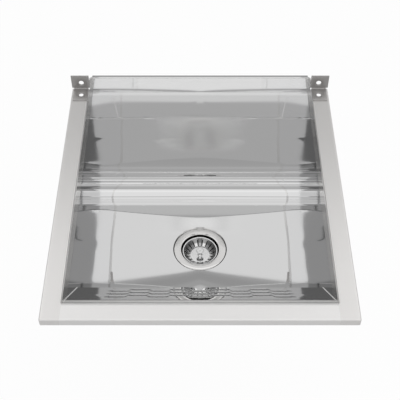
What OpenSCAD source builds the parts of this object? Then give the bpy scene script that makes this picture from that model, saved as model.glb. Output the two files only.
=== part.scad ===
// Wall-hung stainless steel laundry tub with a pressed washboard and a basket strainer waste.
// The origin lies on the wall, midway between the two wall screw holes.
// The front is -Y and up is +Z. Side views are drawn as [distance from the wall, height].

/* [Tub] */
// Width over the outer edges of the side rims
tub_w = 529; // [440:1:700]
// Depth from the wall to the front edge
tub_d = 564; // [530:1:700]
// Depth of the flat floor below the top of the rim
floor_depth = 300; // [240:1:400]
// Thickness of the tub's sheet steel
sheet_t = 1; // [0.8:0.1:2]
// Height of the upstand above the top of the rim
upstand_h = 35.5; // [30:0.5:60]
// Distance from the wall to the front face of the upstand and back wall
back_gap = 6; // [4:0.5:12]
// Radius where the back wall turns into the floor
back_r = 58; // [30:1:64]
// Radius of the fold along the top of the upstand
hem_r = 2.5; // [2.2:0.1:3.5]
// Radius of the upstand's top corners
upstand_corner_r = 8; // [2:1:20]
// Gap between the upstand and each bracket
upstand_gap = 2; // [1:0.5:6]
// Distance from the wall to the corner of the floor and the lower front wall
floor_front_d = 333; // [325:1:370]
// Radius between the floor and the lower front wall
front_bottom_r = 22; // [10:1:30]

/* [Rim] */
// Width of the side rims
rim_w = 33.8; // [30:0.1:60]
// Width of the front rim
front_rim_w = 33.3; // [28:0.1:60]
// Height of the rim's outer lip
lip_h = 15; // [8:0.5:30]
// Radius of the rim's outer fold
lip_r = 2; // [1.5:0.1:2.8]
// Radius of the side rim's inner fold
side_fold_r = 3; // [2.2:0.1:6]
// Depth of the side rim's skirt inside the bowl
side_skirt = 48; // [20:1:90]
// Radius of the front rim's fold onto the washboard
front_fold_r = 12; // [5:1:20]
// Length of the front rim's skirt along the washboard
front_skirt = 36; // [20:1:50]

/* [Washboard] */
// Distance from the wall to the crease under the washboard
crease_d = 408; // [390:1:430]
// Depth of that crease below the top of the rim
crease_depth = 132; // [110:1:160]
// Radius of the crease
crease_r = 5; // [2.5:0.5:10]
// Length of one pressed ridge
ridge_l = 38; // [20:1:50]
// Width of one pressed ridge
ridge_w = 13; // [8:0.5:16]
// Height of one pressed ridge
ridge_h = 3; // [2:0.1:4]
// Distance between neighbouring ridges in one row
ridge_pitch = 73; // [60:1:100]
// Distance between rows of ridges
row_pitch = 17; // [15:1:24]
// Distance from the crease to the middle of the first row
first_row = 27; // [20:1:35]
// Number of rows
ridge_rows = 6; // [2:1:6]
// Number of ridges in the longer rows
ridges_across = 5; // [2:1:5]

/* [Wall brackets] */
// Thickness of the bracket steel
bracket_t = 2; // [1.5:0.1:4]
// Width of the upright tab
upright_w = 36.5; // [28:0.5:36.5]
// Width of the flat tab on the rim
flat_w = 29.5; // [24:0.5:33]
// Reach of the flat tab from the wall
flat_d = 38; // [30:1:60]
// Distance of both screw holes from the tub's outer edge
hole_inset = 20; // [16:0.5:22]
// Height of the wall screw holes above the top of the rim
wall_hole_up = 17; // [14:0.5:24]
// Distance of the rim screw holes from the wall
rim_hole_d = 20; // [14:0.5:26]
// Diameter of the screw holes
screw_hole = 10; // [6:0.5:12]
// Diameter of the dimple round each screw hole
dimple_d = 16; // [14:0.5:20]
// Depth of the dimple
dimple_h = 0.8; // [0.3:0.1:1]
// Clearance of the rim's hole round the bracket's hole
rim_hole_play = 0.5; // [0.2:0.1:2]
// Distance of the flat tab from the rim's inner edge
flat_inset = 0.3; // [0.1:0.1:4]

/* [Drain] */
// Distance from the wall to the middle of the drain
drain_d = 186; // [182:1:190]
// Radius of the shallow fall pressed into the floor
fall_r = 114; // [90:1:116]
// Drop of that fall
fall_h = 5; // [2:0.5:10]
// Diameter of the hole in the floor
floor_hole = 89; // [88:0.5:92]
// Clearance between the flange and the wall of its recess
recess_play = 2; // [1:0.5:4]
// Outer diameter of the strainer's flange
flange_d = 114; // [110:0.5:118]
// Thickness of the strainer's flange
flange_t = 1.2; // [0.8:0.1:2]
// Diameter of the opening inside the flange
mouth_d = 83.5; // [80:0.5:84]
// Width of the bevel round the opening
mouth_bevel = 3; // [1:0.5:5]
// Outer diameter of the thread on the strainer's cup
cup_thread_d = 87; // [86:0.5:87.5]
// Depth of the stopper's seat below the flange
seat_depth = 25.1; // [24.9:0.1:40]
// Depth of the strainer's bottom edge below the flange
neck_depth = 58; // [56:1:90]
// Outer diameter of the outlet thread
outlet_thread_d = 47.8; // [46:0.1:50]
// Inner diameter of the outlet
outlet_d = 39.6; // [38:0.1:41]
// Thread pitch of the cup and the outlet
thread_pitch = 2.31; // [2:0.01:4]
// Depth of the threads
thread_h = 0.9; // [0.5:0.1:1.2]
// Thickness of the seal under the flange
seal_t = 1; // [0.5:0.1:3]
// Thickness of the rubber washer under the floor
washer_t = 3; // [2:0.1:5]
// Thickness of the fibre ring on the lock nut
fibre_t = 1; // [0.5:0.1:2]
// Height of the lock nut
lock_nut_h = 10; // [6:0.5:14]
// Number of lugs on the lock nut
lock_nut_lugs = 8; // [4:1:12]
// Reach of the lugs beyond the lock nut's ring
lug_reach = 4; // [2:0.5:6]
// Width of one lug
lug_w = 9; // [6:0.5:14]
// Running clearance inside each nut, on the radius
nut_play = 0.05; // [0.02:0.01:0.1]
// Clearance of each seal and washer round what it sits on, on the radius
seal_play = 0.5; // [0.3:0.1:1]
// How far the flange's seal and the fibre ring stay inside the flange's edge
seal_inset = 1; // [0.5:0.5:3]

/* [Tailpiece] */
// Outer diameter of the tailpiece
tail_d = 38.1; // [36:0.1:39]
// Wall of the tailpiece
tail_wall = 1; // [0.8:0.1:2]
// Length of the tailpiece
tail_l = 100; // [60:1:200]
// Length of the thicker neck under the tailpiece's collar
tail_neck_l = 6; // [5:0.5:12]
// Extra thickness of that neck
tail_neck_t = 0.2; // [0.1:0.1:0.5]
// Thickness of the tailpiece's washer
tail_washer_t = 1.8; // [1:0.1:3]
// Thickness of the tailpiece's collar
tail_collar_t = 1.5; // [1:0.1:3]
// Height of the tailpiece nut
tail_nut_h = 18; // [14:0.5:24]
// Height of the nut's lip under the collar
tail_nut_lip = 3; // [2:0.5:4]
// Wall of the nut at its corners
tail_nut_wall = 6; // [5:0.5:8]
// Clearance of the nut's lip round the tube, on the radius
tail_lip_play = 0.3; // [0.25:0.05:0.5]

/* [Basket] */
// Outer diameter of the basket's rim
basket_d = 76.5; // [72:0.5:78]
// Thickness of the basket's steel
basket_t = 0.8; // [0.6:0.1:1.2]
// Depth of the basket's rim below the flange
basket_rim_depth = 5.5; // [4:0.1:7]
// Depth of the basket's floor below the flange
basket_floor_depth = 20; // [18:0.1:20]
// Diameter of the basket's floor
basket_floor_d = 42; // [38:0.5:44]
// Width of the basket's flat rim
basket_rim_w = 2.6; // [2:0.1:4]
// Number of slots round the basket
slot_count = 18; // [8:1:20]
// Width of one slot
slot_w = 2.6; // [1:0.1:3]
// Length of one slot
slot_l = 14; // [6:0.5:15]
// Height of the fold between the basket's rim and its cone
basket_fold_h = 1.2; // [0.9:0.1:2]
// Diameter of the knob's top
knob_d = 16; // [12:0.5:24]
// Height of the knob above the basket's floor
knob_h = 16.5; // [12:0.5:24]
// Width of the knob's foot round the post
knob_foot_w = 2.5; // [1:0.1:4]
// Diameter of the post below the basket
post_d = 6; // [4:0.1:8]
// Length of the post below the basket's floor
post_l = 18; // [17:0.5:20]
// Diameter of the rubber stopper
stopper_d = 46; // [44:0.5:50]
// Gap between the stopper and its seat with the basket in place
seat_gap = 0.3; // [0.2:0.1:0.5]
// Thickness of the washer that backs the stopper
backing_t = 1; // [0.5:0.1:1.5]
// Diameter of that washer
backing_d = 27.6; // [20:0.1:30]
// Height of the post's nut
post_nut_h = 3.5; // [2.5:0.1:4]
// Wall of the post's nut at its corners
post_nut_wall = 3; // [2:0.5:4]
// Clearance between the post and the cross that guides it, on the radius
guide_play = 0.4; // [0.3:0.1:1]
// How far the cross lies below the stopper's seat
cross_drop = 7; // [7:0.1:10]
// Thickness of the cross
cross_t = 2; // [1:0.1:4]
// Wall of the cross's hub round the post
hub_wall = 2.5; // [1.5:0.1:4]
// Width of the cross's arms
arm_w = 3; // [2:0.1:5]

/* [Hidden] */
$fn = 64;

// Largest angle between two facets of a bend
bend_step = 9;
// Overshoot of a cutting tool past the face that it cuts
over = 1;
// Radius of a corner that is pressed all but sharp
sharp_r = 0.01;
// Width of the bevel along the strainer's and the knob's edges
edge_bevel = 0.7;
// Width of the flat seat beyond the stopper, on the diameter
outer_seat = 6;
// Height of the strainer cup's bottom corner
cup_corner = 2;
// Width and height of the step under that corner
shoulder_w = 3;
shoulder_h = 1.25;
// Width of the taper between that step and the outlet's neck
haunch_w = 4;
// Length of the thread on the outlet
neck_thread_l = 24.9;
// Height of the knob's foot
knob_foot_h = 1;
// Steps along the knob's flare
flare_steps = 7;
// Depth of the cut for a slot, in thicknesses of the basket's steel
slot_cut = 6;
// Sides of a hexagon nut
hexagon = 6;

half_w = tub_w / 2;
inner_x = half_w - rim_w;
rim_z = -wall_hole_up;
slope_top = [tub_d - front_rim_w, 0];
crease = [crease_d, -crease_depth];
slope_dir = unit(slope_top - crease);
slope_angle = atan2(slope_dir[1], slope_dir[0]);
slope_seam = slope_top - front_skirt * slope_dir;
upstand_x = half_w - upright_w - upstand_gap;
hole_x = half_w - hole_inset;

flange_z = rim_z - floor_depth - fall_h;
recess_h = flange_t + seal_t;
recess_r = flange_d / 2 + recess_play;
// Outer radius of a tight bend in the tub's sheet
tight_bend_r = 1.5 * sheet_t;
floor_under = flange_z - recess_h - sheet_t;
washer_r = flange_d / 2;
seal_r = washer_r - seal_inset;
cup_r = cup_thread_d / 2;
cup_inner_r = (mouth_d - edge_bevel) / 2;
neck_r = outlet_thread_d / 2;
outlet_r = outlet_d / 2;
collar_r = neck_r - seal_play;
neck_z = flange_z - neck_depth;
seat_z = flange_z - seat_depth;
basket_floor_z = flange_z - basket_floor_depth;
stopper_top = basket_floor_z - basket_t;
stopper_base = seat_z + seat_gap;
backing_z = stopper_base - backing_t;
cross_z = seat_z - cross_drop;
tail_top = neck_z - tail_washer_t;
tail_nut_z = tail_top - tail_collar_t - tail_nut_lip;
basket_r = basket_d / 2;
basket_floor_r = basket_floor_d / 2;
basket_wall_r = basket_r - basket_rim_w;
basket_rise = basket_floor_depth - basket_rim_depth - basket_fold_h;
post_r = post_d / 2;
guide_r = post_r + guide_play;

// Plane vectors and bent sheets

function unit(v) = v / norm(v);
function left_of(v) = [-v[1], v[0]];
function reversed(p) = [for (i = [len(p) - 1 : -1 : 0]) p[i]];

// Corner b of the path a, b, c, moved s to the left of the way along it
function moved_corner(a, b, c, s) =
    let (u = unit(b - a), w = unit(c - b))
    b + s * (left_of(u) + left_of(w)) / (1 + u * w);

// The whole path p moved s to its left
function moved_path(p, s) =
    let (last = len(p) - 1)
    [for (i = [0 : last])
        i == 0 ? p[0] + s * left_of(unit(p[1] - p[0])) :
        i == last ? p[last] + s * left_of(unit(p[last] - p[last - 1])) :
        moved_corner(p[i - 1], p[i], p[i + 1], s)];

// Arc of radius r that rounds the corner b of the path a, b, c
function rounded_corner(a, b, c, r) =
    let (u = unit(b - a), w = unit(c - b), turn = sign(cross(u, w)), angle = acos(u * w),
        centre = b - r * tan(angle / 2) * u + turn * r * left_of(u),
        spoke = -turn * r * left_of(u), steps = max(2, ceil(angle / bend_step)))
    [for (i = [0 : steps])
        let (swing = turn * angle * i / steps)
        centre + cos(swing) * spoke + sin(swing) * left_of(spoke)];

// Path p moved s to its left, with each corner rounded; radii are those of the unmoved path
function bent_path(p, radii, s) =
    let (q = moved_path(p, s), last = len(p) - 1)
    [for (i = [0 : last])
        each (i == 0 || i == last) ? [q[i]] :
            rounded_corner(q[i - 1], q[i], q[i + 1],
                radii[i] - s * sign(cross(p[i] - p[i - 1], p[i + 1] - p[i])))];

// Outline of a bent sheet whose visible face follows p and whose thickness s lies to the left
function bent_sheet(p, radii, s) =
    concat(bent_path(p, radii, 0), reversed(bent_path(p, radii, s)));

// Side view of the bowl's outside, closed across the top
function bowl_outline() = bent_path(
    [[back_gap, 0], [back_gap, -floor_depth], [floor_front_d, -floor_depth], crease, slope_top],
    [0, back_r, front_bottom_r, crease_r, 0], -sheet_t);

// Placing

module at_rim() translate([0, 0, rim_z]) children();

module at_drain(z) translate([0, -drain_d, z]) children();

// Stretches a side view along X between x0 and x1
module across(x0, x1)
    translate([x1, 0, 0])
        rotate([90, 0, -90])
            linear_extrude(x1 - x0) children();

// Stretches a front view [x, z] from d0 to d1 away from the wall
module outward(d0, d1)
    translate([0, -d0, 0])
        rotate([90, 0, 0])
            linear_extrude(d1 - d0) children();

module ring(r_in, r_out, h)
    difference() {
        cylinder(r = r_out, h = h);
        translate([0, 0, -over]) cylinder(r = r_in, h = h + 2 * over);
    }

// V grooves of a thread, cut into a cylinder of radius r between z0 and z1
module thread_grooves(r, z0, z1)
    for (k = [0 : floor((z1 - z0) / thread_pitch) - 1])
        translate([0, 0, z0 + (k + 0.5) * thread_pitch])
            rotate_extrude()
                polygon([[r - thread_h, 0], [r + over, -thread_pitch / 2], [r + over, thread_pitch / 2]]);

// Tub sheets

module wrap_profile()
    polygon(bent_sheet(
        [[0, upstand_h], [back_gap, upstand_h], [back_gap, -floor_depth],
            [floor_front_d, -floor_depth], crease, slope_seam],
        [0, hem_r, back_r, front_bottom_r, crease_r, 0], -sheet_t));

// One pressed ridge lying along X, with round ends, grown or shrunk by the radius r
module ridge_bar(r) {
    ridge_r = (pow(ridge_h, 2) + pow(ridge_w / 2, 2)) / (2 * ridge_h);
    straight = ridge_l - ridge_w;
    translate([0, 0, ridge_h - ridge_r]) {
        rotate([0, 90, 0]) cylinder(r = ridge_r + r, h = straight, center = true);
        for (side = [-1, 1])
            translate([side * straight / 2, 0, 0]) sphere(r = ridge_r + r);
    }
}

// All ridges in their staggered rows, on the plane of the washboard
module ridge_field(r)
    translate([0, -crease[0], crease[1]])
        rotate([-slope_angle, 0, 0])
            for (row = [0 : ridge_rows - 1]) {
                count = ridges_across - 1 + row % 2;
                for (k = [0 : count - 1])
                    translate([(k - (count - 1) / 2) * ridge_pitch, -first_row - row * row_pitch, 0])
                        ridge_bar(r);
            }

// The half space above the middle of the washboard's sheet
module above_washboard()
    translate([0, -crease[0], crease[1]])
        rotate([-slope_angle, 0, 0])
            translate([-inner_x, -norm(slope_top - crease), -sheet_t / 2])
                cube([2 * inner_x, norm(slope_top - crease), ridge_h + sheet_t]);

// Cuts the upstand's sides and rounds its top corners
module upstand_trim()
    for (side = [-1, 1])
        mirror([side < 0 ? 1 : 0, 0, 0])
            outward(-over, back_gap + over)
                difference() {
                    translate([upstand_x - upstand_corner_r, 0])
                        square([inner_x - upstand_x + upstand_corner_r + over, upstand_h + over]);
                    translate([upstand_x - upstand_corner_r, upstand_h - upstand_corner_r])
                        circle(r = upstand_corner_r);
                    translate([upstand_x - upstand_corner_r - over, -over])
                        square([upstand_corner_r + over, upstand_h - upstand_corner_r + over]);
                }

// Shallow fall to the drain with the recess that takes the flange
module drain_fall()
    at_drain(-floor_depth)
        rotate_extrude()
            polygon(bent_sheet(
                [[floor_hole / 2, -fall_h - recess_h], [recess_r - recess_play, -fall_h - recess_h],
                    [recess_r, -fall_h], [fall_r, 0], [fall_r + over, 0]],
                [0, sharp_r, tight_bend_r, tight_bend_r, 0], -sheet_t));

module wrap_sheet()
    color([0.80, 0.80, 0.81])
        at_rim()
            difference() {
                union() {
                    difference() {
                        across(-inner_x, inner_x) wrap_profile();
                        at_drain(-floor_depth - 2 * over) cylinder(r = fall_r, h = 4 * over);
                        upstand_trim();
                    }
                    drain_fall();
                    intersection() {
                        ridge_field(0);
                        above_washboard();
                    }
                }
                ridge_field(-sheet_t);
            }

module side_panel()
    at_rim()
        across(inner_x, inner_x + sheet_t)
            difference() {
                polygon(bowl_outline());
                translate([-over, -side_skirt]) square([tub_d, side_skirt + over]);
            }

module right_side_panel() color([0.66, 0.66, 0.67]) side_panel();

module left_side_panel() color([0.66, 0.66, 0.67]) mirror([1, 0, 0]) side_panel();

// Rims

// Front view of the side rim: lip, top and skirt
module side_rim_profile()
    polygon(bent_sheet(
        [[half_w, -lip_h], [half_w, 0], [inner_x, 0], [inner_x, -side_skirt]],
        [0, lip_r, side_fold_r, 0], sheet_t));

// Filled view of a lip and top whose outer faces lie s inside the edge at e
module lip_fill(start, e, s, low)
    polygon(concat([[start, low], [start, -s]],
        rounded_corner([start, -s], [e - s, -s], [e - s, low], lip_r - s), [[e - s, low]]));

// Solid of the rim's front corner with its faces moved s inwards
module corner_solid(s, low)
    intersection() {
        outward(slope_top[0] - s, tub_d) lip_fill(inner_x - s, half_w, s, low);
        across(inner_x - s, half_w) lip_fill(slope_top[0] - s, tub_d, s, low);
    }

module side_rim()
    at_rim()
        difference() {
            union() {
                intersection() {
                    outward(0, slope_top[0] + over) side_rim_profile();
                    union() {
                        across(inner_x, inner_x + side_fold_r) polygon(bowl_outline());
                        across(inner_x + side_fold_r, half_w)
                            translate([0, -side_skirt]) square([tub_d, side_skirt]);
                        across(inner_x, half_w)
                            translate([0, -side_fold_r]) square([tub_d, side_fold_r]);
                    }
                }
                difference() {
                    corner_solid(0, -lip_h);
                    corner_solid(sheet_t, -lip_h - over);
                }
            }
            translate([hole_x, -rim_hole_d, -sheet_t - over])
                cylinder(d = screw_hole + 2 * rim_hole_play, h = sheet_t + 2 * over);
        }

module right_rim() color([0.87, 0.86, 0.85]) side_rim();

module left_rim() color([0.87, 0.86, 0.85]) mirror([1, 0, 0]) side_rim();

module front_rim()
    color([0.89, 0.88, 0.87])
        at_rim()
            across(-inner_x, inner_x)
                polygon(bent_sheet(
                    [[tub_d, -lip_h], [tub_d, 0], slope_top, slope_seam],
                    [0, lip_r, front_fold_r, 0], sheet_t));

// Wall brackets

module screw_hole_cut()
    translate([0, 0, -bracket_t - over]) {
        cylinder(d = screw_hole, h = bracket_t + 2 * over);
        translate([0, 0, bracket_t + over - dimple_h])
            cylinder(d1 = screw_hole, d2 = dimple_d, h = dimple_h);
        translate([0, 0, bracket_t + over]) cylinder(d = dimple_d, h = over);
    }

module bracket_profile()
    polygon(bent_sheet(
        [[flat_d, bracket_t], [bracket_t, bracket_t], [bracket_t, upstand_h]],
        [0, bracket_t, 0], bracket_t));

module bracket()
    at_rim() {
        flat_x = inner_x + flat_inset;
        upright_x = half_w - upright_w;
        difference() {
            union() {
                across(flat_x, flat_x + flat_w) bracket_profile();
                intersection() {
                    across(upright_x, half_w) bracket_profile();
                    translate([upright_x, -2 * bracket_t, 0]) cube([upright_w, 2 * bracket_t, upstand_h]);
                }
            }
            translate([hole_x, -bracket_t, wall_hole_up]) rotate([90, 0, 0]) screw_hole_cut();
            translate([hole_x, -rim_hole_d, bracket_t]) screw_hole_cut();
        }
    }

module right_bracket() color([0.62, 0.60, 0.58]) bracket();

module left_bracket() color([0.62, 0.60, 0.58]) mirror([1, 0, 0]) bracket();

// Strainer waste

module strainer_profile() {
    mouth_r = mouth_d / 2;
    bevel = edge_bevel;
    // Side view of the cup's pressed bottom corners, from the seat's edge to the outlet's neck
    seat_r = (stopper_d + outer_seat) / 2;
    shoulder = [cup_r - shoulder_w, -seat_depth - shoulder_h];
    haunch = [neck_r + haunch_w, shoulder[1] - shoulder_h];
    polygon([
        [washer_r, -flange_t], [washer_r, -bevel], [washer_r - bevel, 0],
        [mouth_r + mouth_bevel, 0], [mouth_r, -bevel], [cup_inner_r, -mouth_bevel],
        [cup_inner_r - bevel, cup_corner - seat_depth], [seat_r, -seat_depth],
        [outlet_r + bevel, -seat_depth], [outlet_r, -seat_depth - bevel], [outlet_r, -neck_depth],
        [neck_r, -neck_depth], [neck_r, haunch[1] - haunch_w], haunch, shoulder,
        [cup_r, cup_corner - seat_depth], [cup_r, -flange_t]]);
}

module strainer_cross()
    difference() {
        union() {
            cylinder(r = guide_r + hub_wall, h = cross_t);
            for (turn = [0, 90])
                rotate([0, 0, turn])
                    translate([-outlet_r - over, -arm_w / 2, 0])
                        cube([outlet_d + 2 * over, arm_w, cross_t]);
        }
        translate([0, 0, -over]) cylinder(r = guide_r, h = cross_t + 2 * over);
    }

module strainer_body()
    color([0.78, 0.77, 0.76]) {
        difference() {
            at_drain(flange_z) rotate_extrude() strainer_profile();
            at_drain(0) {
                thread_grooves(cup_r, seat_z + cup_corner, floor_under);
                thread_grooves(neck_r, neck_z, neck_z + neck_thread_l);
            }
        }
        at_drain(cross_z - cross_t) strainer_cross();
    }

module flange_seal()
    color([0.15, 0.15, 0.15])
        at_drain(flange_z - recess_h) ring(floor_hole / 2 + seal_play, seal_r, seal_t);

module under_washer()
    color([0.12, 0.12, 0.12])
        at_drain(floor_under - washer_t) ring(cup_r + seal_play, washer_r, washer_t);

module fibre_ring()
    color([0.62, 0.48, 0.32])
        at_drain(floor_under - washer_t - fibre_t) ring(cup_r + seal_play, seal_r, fibre_t);

module lock_nut() {
    nut_r = washer_r - lug_reach;
    color([0.72, 0.72, 0.70])
        at_drain(floor_under - washer_t - fibre_t - lock_nut_h)
            difference() {
                union() {
                    cylinder(r = nut_r, h = lock_nut_h);
                    for (k = [0 : lock_nut_lugs - 1])
                        rotate([0, 0, k * 360 / lock_nut_lugs])
                            translate([nut_r - over, -lug_w / 2, 0])
                                cube([washer_r - nut_r + over, lug_w, lock_nut_h]);
                }
                translate([0, 0, -over]) cylinder(r = cup_r + nut_play, h = lock_nut_h + 2 * over);
            }
}

module tail_washer()
    color([0.92, 0.92, 0.90])
        at_drain(tail_top) ring(outlet_r, collar_r, tail_washer_t);

module tailpiece()
    color([0.82, 0.82, 0.83])
        at_drain(tail_top - tail_l)
            difference() {
                union() {
                    cylinder(d = tail_d, h = tail_l);
                    translate([0, 0, tail_l - tail_collar_t - tail_neck_l])
                        cylinder(r = tail_d / 2 + tail_neck_t, h = tail_neck_l + tail_collar_t);
                    translate([0, 0, tail_l - tail_collar_t]) cylinder(r = collar_r, h = tail_collar_t);
                }
                translate([0, 0, -over]) cylinder(r = tail_d / 2 - tail_wall, h = tail_l + 2 * over);
            }

module tail_nut()
    color([0.80, 0.80, 0.81])
        at_drain(tail_nut_z)
            difference() {
                cylinder(r = neck_r + tail_nut_wall, h = tail_nut_h, $fn = hexagon);
                translate([0, 0, -over]) cylinder(r = tail_d / 2 + tail_lip_play, h = tail_nut_h);
                translate([0, 0, tail_nut_lip]) cylinder(r = neck_r + nut_play, h = tail_nut_h);
            }

// Basket

module basket_profile() {
    top = -basket_rim_depth;
    fold = top - basket_fold_h;
    base = -basket_floor_depth;
    polygon([
        [0, base], [basket_floor_r, base], [basket_wall_r, fold], [basket_wall_r + basket_t / 2, top],
        [basket_r, top], [basket_r, top - basket_t], [basket_wall_r + 3 * basket_t / 2, top - basket_t],
        [basket_wall_r + basket_t, fold], [basket_floor_r + basket_t / 2, base - basket_t],
        [0, base - basket_t]]);
}

module basket_slots() {
    run = basket_wall_r - basket_floor_r;
    for (k = [0 : slot_count - 1])
        rotate([0, 0, (k + 0.5) * 360 / slot_count])
            translate([basket_floor_r + run / 2, 0, -basket_floor_depth + basket_rise / 2])
                rotate([0, -atan2(basket_rise, run), 0])
                    cube([slot_l, slot_w, slot_cut * basket_t], center = true);
}

module basket_shell()
    color([0.84, 0.84, 0.84])
        at_drain(flange_z)
            difference() {
                rotate_extrude() basket_profile();
                basket_slots();
                translate([0, 0, -basket_floor_depth - 2 * basket_t])
                    cylinder(d = post_d, h = 3 * basket_t);
            }

// Knob with its foot on the basket's floor and the post below it
module basket_knob() {
    foot_r = post_r + knob_foot_w;
    knob_r = knob_d / 2;
    neck_z = 2 * knob_foot_h;
    flare = knob_h - neck_z - 2 * edge_bevel;
    color([0.88, 0.88, 0.88])
        at_drain(basket_floor_z)
            rotate_extrude()
                polygon(concat(
                    [[0, -post_l], [post_r - edge_bevel, -post_l], [post_r, edge_bevel - post_l],
                        [post_r, 0], [foot_r, 0], [foot_r, knob_foot_h], [post_r + edge_bevel, neck_z]],
                    [for (k = [1 : flare_steps])
                        let (share = k / flare_steps)
                        [post_r + edge_bevel + (knob_r - post_r - edge_bevel) * pow(share, 2),
                            neck_z + flare * share]],
                    [[knob_r, knob_h - edge_bevel], [knob_r - edge_bevel, knob_h], [0, knob_h]]));
}

module stopper_seal()
    color([0.10, 0.10, 0.10])
        at_drain(stopper_base)
            difference() {
                cylinder(r1 = stopper_d / 2, r2 = basket_floor_r, h = stopper_top - stopper_base);
                translate([0, 0, -over]) cylinder(d = post_d, h = basket_floor_depth);
            }

module backing_washer()
    color([0.80, 0.80, 0.81])
        at_drain(backing_z) ring(post_r, backing_d / 2, backing_t);

module post_nut()
    color([0.72, 0.70, 0.62])
        at_drain(backing_z - post_nut_h)
            difference() {
                cylinder(r = post_r + post_nut_wall, h = post_nut_h, $fn = hexagon);
                translate([0, 0, -over]) cylinder(d = post_d, h = post_nut_h + 2 * over);
            }

wrap_sheet();
left_side_panel();
right_side_panel();
left_rim();
right_rim();
front_rim();
left_bracket();
right_bracket();
strainer_body();
flange_seal();
under_washer();
fibre_ring();
lock_nut();
tail_washer();
tail_nut();
tailpiece();
basket_shell();
basket_knob();
stopper_seal();
backing_washer();
post_nut();
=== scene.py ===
"""Looks of a wall-hung stainless steel laundry tub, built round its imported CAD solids."""

import logging
import math
from dataclasses import dataclass
from enum import Enum
from functools import cached_property
from typing import Callable, Iterable, Optional, Sequence, Union

import bmesh
import bpy
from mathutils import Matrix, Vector


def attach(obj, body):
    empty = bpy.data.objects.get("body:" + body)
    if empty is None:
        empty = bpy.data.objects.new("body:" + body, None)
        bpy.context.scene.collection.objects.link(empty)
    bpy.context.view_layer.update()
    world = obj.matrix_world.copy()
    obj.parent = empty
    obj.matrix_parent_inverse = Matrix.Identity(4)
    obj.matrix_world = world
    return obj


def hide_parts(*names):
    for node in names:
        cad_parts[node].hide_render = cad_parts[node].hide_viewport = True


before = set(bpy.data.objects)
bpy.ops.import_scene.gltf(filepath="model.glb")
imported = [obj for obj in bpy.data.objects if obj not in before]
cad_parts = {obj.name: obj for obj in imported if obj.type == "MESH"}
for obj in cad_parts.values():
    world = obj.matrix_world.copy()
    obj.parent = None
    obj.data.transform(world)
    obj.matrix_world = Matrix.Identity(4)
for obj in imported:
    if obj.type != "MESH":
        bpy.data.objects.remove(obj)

log = logging.getLogger("laundry_tub")

MM = 0.001
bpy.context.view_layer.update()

Side = tuple[float, float]
Corner = tuple[float, float, float]
Colour = tuple[float, float, float]
Curve = Sequence[Side]
Rows = list[list[Vector]]
Mesh = bpy.types.Mesh
Piece = bpy.types.Object
Number = Union[int, float]
Value = Union["Wire", Number]


# Places and paths. Sizes are in millimetres, and their names end in _r for a radius, _d for a distance from
# the wall, _h for a height and _w for a width. x is counted from the tub's middle and z from the rim's top.

RIM_Z = -17.0
HALF_W = 264.5
INNER_X = 230.7
DEPTH = 564.0
FLOOR = -300.0
FLANGE_TOP = -5.0
DRAIN_D = 186.0
SHEET = 1.0
CREASE = (408.0, -132.0)
SLOPE_TOP = (530.7, 0.0)
SLOPE_RUN = math.dist(CREASE, SLOPE_TOP)
SLOPE_ANGLE = math.atan2(SLOPE_TOP[1] - CREASE[1], SLOPE_TOP[0] - CREASE[0])
SLOPE_WAY = (Vector(SLOPE_TOP) - Vector(CREASE)).normalized()
FRONT_SKIRT = 36.0
UPSTAND_H = 35.5
BACK_GAP = 6.0
SIDE_SKIRT = 48.0
RIM_HOLE = (244.5, 20.0)
LIP_R = 2.0
LIP_H = 15.0
SIDES = {-1: "left", 1: "right"}


def at(x: float, d: float, z: float) -> Vector:
    """Turns millimetres (right of the middle, off the wall, above the rim) into a place in metres."""
    return Vector((x * MM, -d * MM, (z + RIM_Z) * MM))


def at_drain(x: float, y: float, z: float) -> Vector:
    """Turns millimetres (right of the drain, behind it, above the floor's flat part) into a place."""
    return at(x, DRAIN_D - y, z + FLOOR)


def between(a: float, b: float, count: int) -> list[float]:
    """Returns count + 1 evenly spaced numbers from a to b."""
    return [a + (b - a) * i / count for i in range(count + 1)]


def quarter(steps: int) -> list[float]:
    """Returns the angles of a quarter turn in that many steps."""
    return between(0, math.pi / 2, steps)


def turns(count: int) -> list[float]:
    """Returns that many even angles round a full turn."""
    return between(0, 2 * math.pi, count)[:-1]


def around(profile: Iterable[Side], angles: Sequence[float]) -> Rows:
    """Returns a row of points round the drain's axis for each (radius, height)."""
    return [[at_drain(r * math.cos(a), r * math.sin(a), z) for a in angles] for r, z in profile]


def slope_place(run: float) -> Side:
    """Returns the point of the washboard's face at that distance above the crease."""
    return (Vector(CREASE) + SLOPE_WAY * run)[:]


def rounded(corners: Sequence[Corner], step: float = 6.0) -> list[Side]:
    """Rounds the corners of a side view.

    Args:
        corners: Its points, each with the radius there, 0 where it stays sharp. The ends stay sharp.
        step: Largest angle between two facets, in degrees.

    Returns:
        The rounded path.
    """
    made = [corners[0][:2]]
    for before, (x, z, radius), after in zip(corners, corners[1:], corners[2:]):
        if radius <= 0:
            made.append((x, z))
            continue
        here = Vector((x, z))
        into = (here - Vector(before[:2])).normalized()
        out = (Vector(after[:2]) - here).normalized()
        angle = math.acos(max(-1.0, min(1.0, into.dot(out))))
        turn = math.copysign(1, into.x * out.y - into.y * out.x)
        spoke = -turn * radius * Vector((-into.y, into.x))
        centre = here - radius * math.tan(angle / 2) * into - spoke
        for swing in between(0, turn * angle, max(2, math.ceil(math.degrees(angle) / step))):
            cos, sin = math.cos(swing), math.sin(swing)
            made.append((centre.x + cos * spoke.x - sin * spoke.y, centre.y + sin * spoke.x + cos * spoke.y))
    return [*made, corners[-1][:2]]


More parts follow.
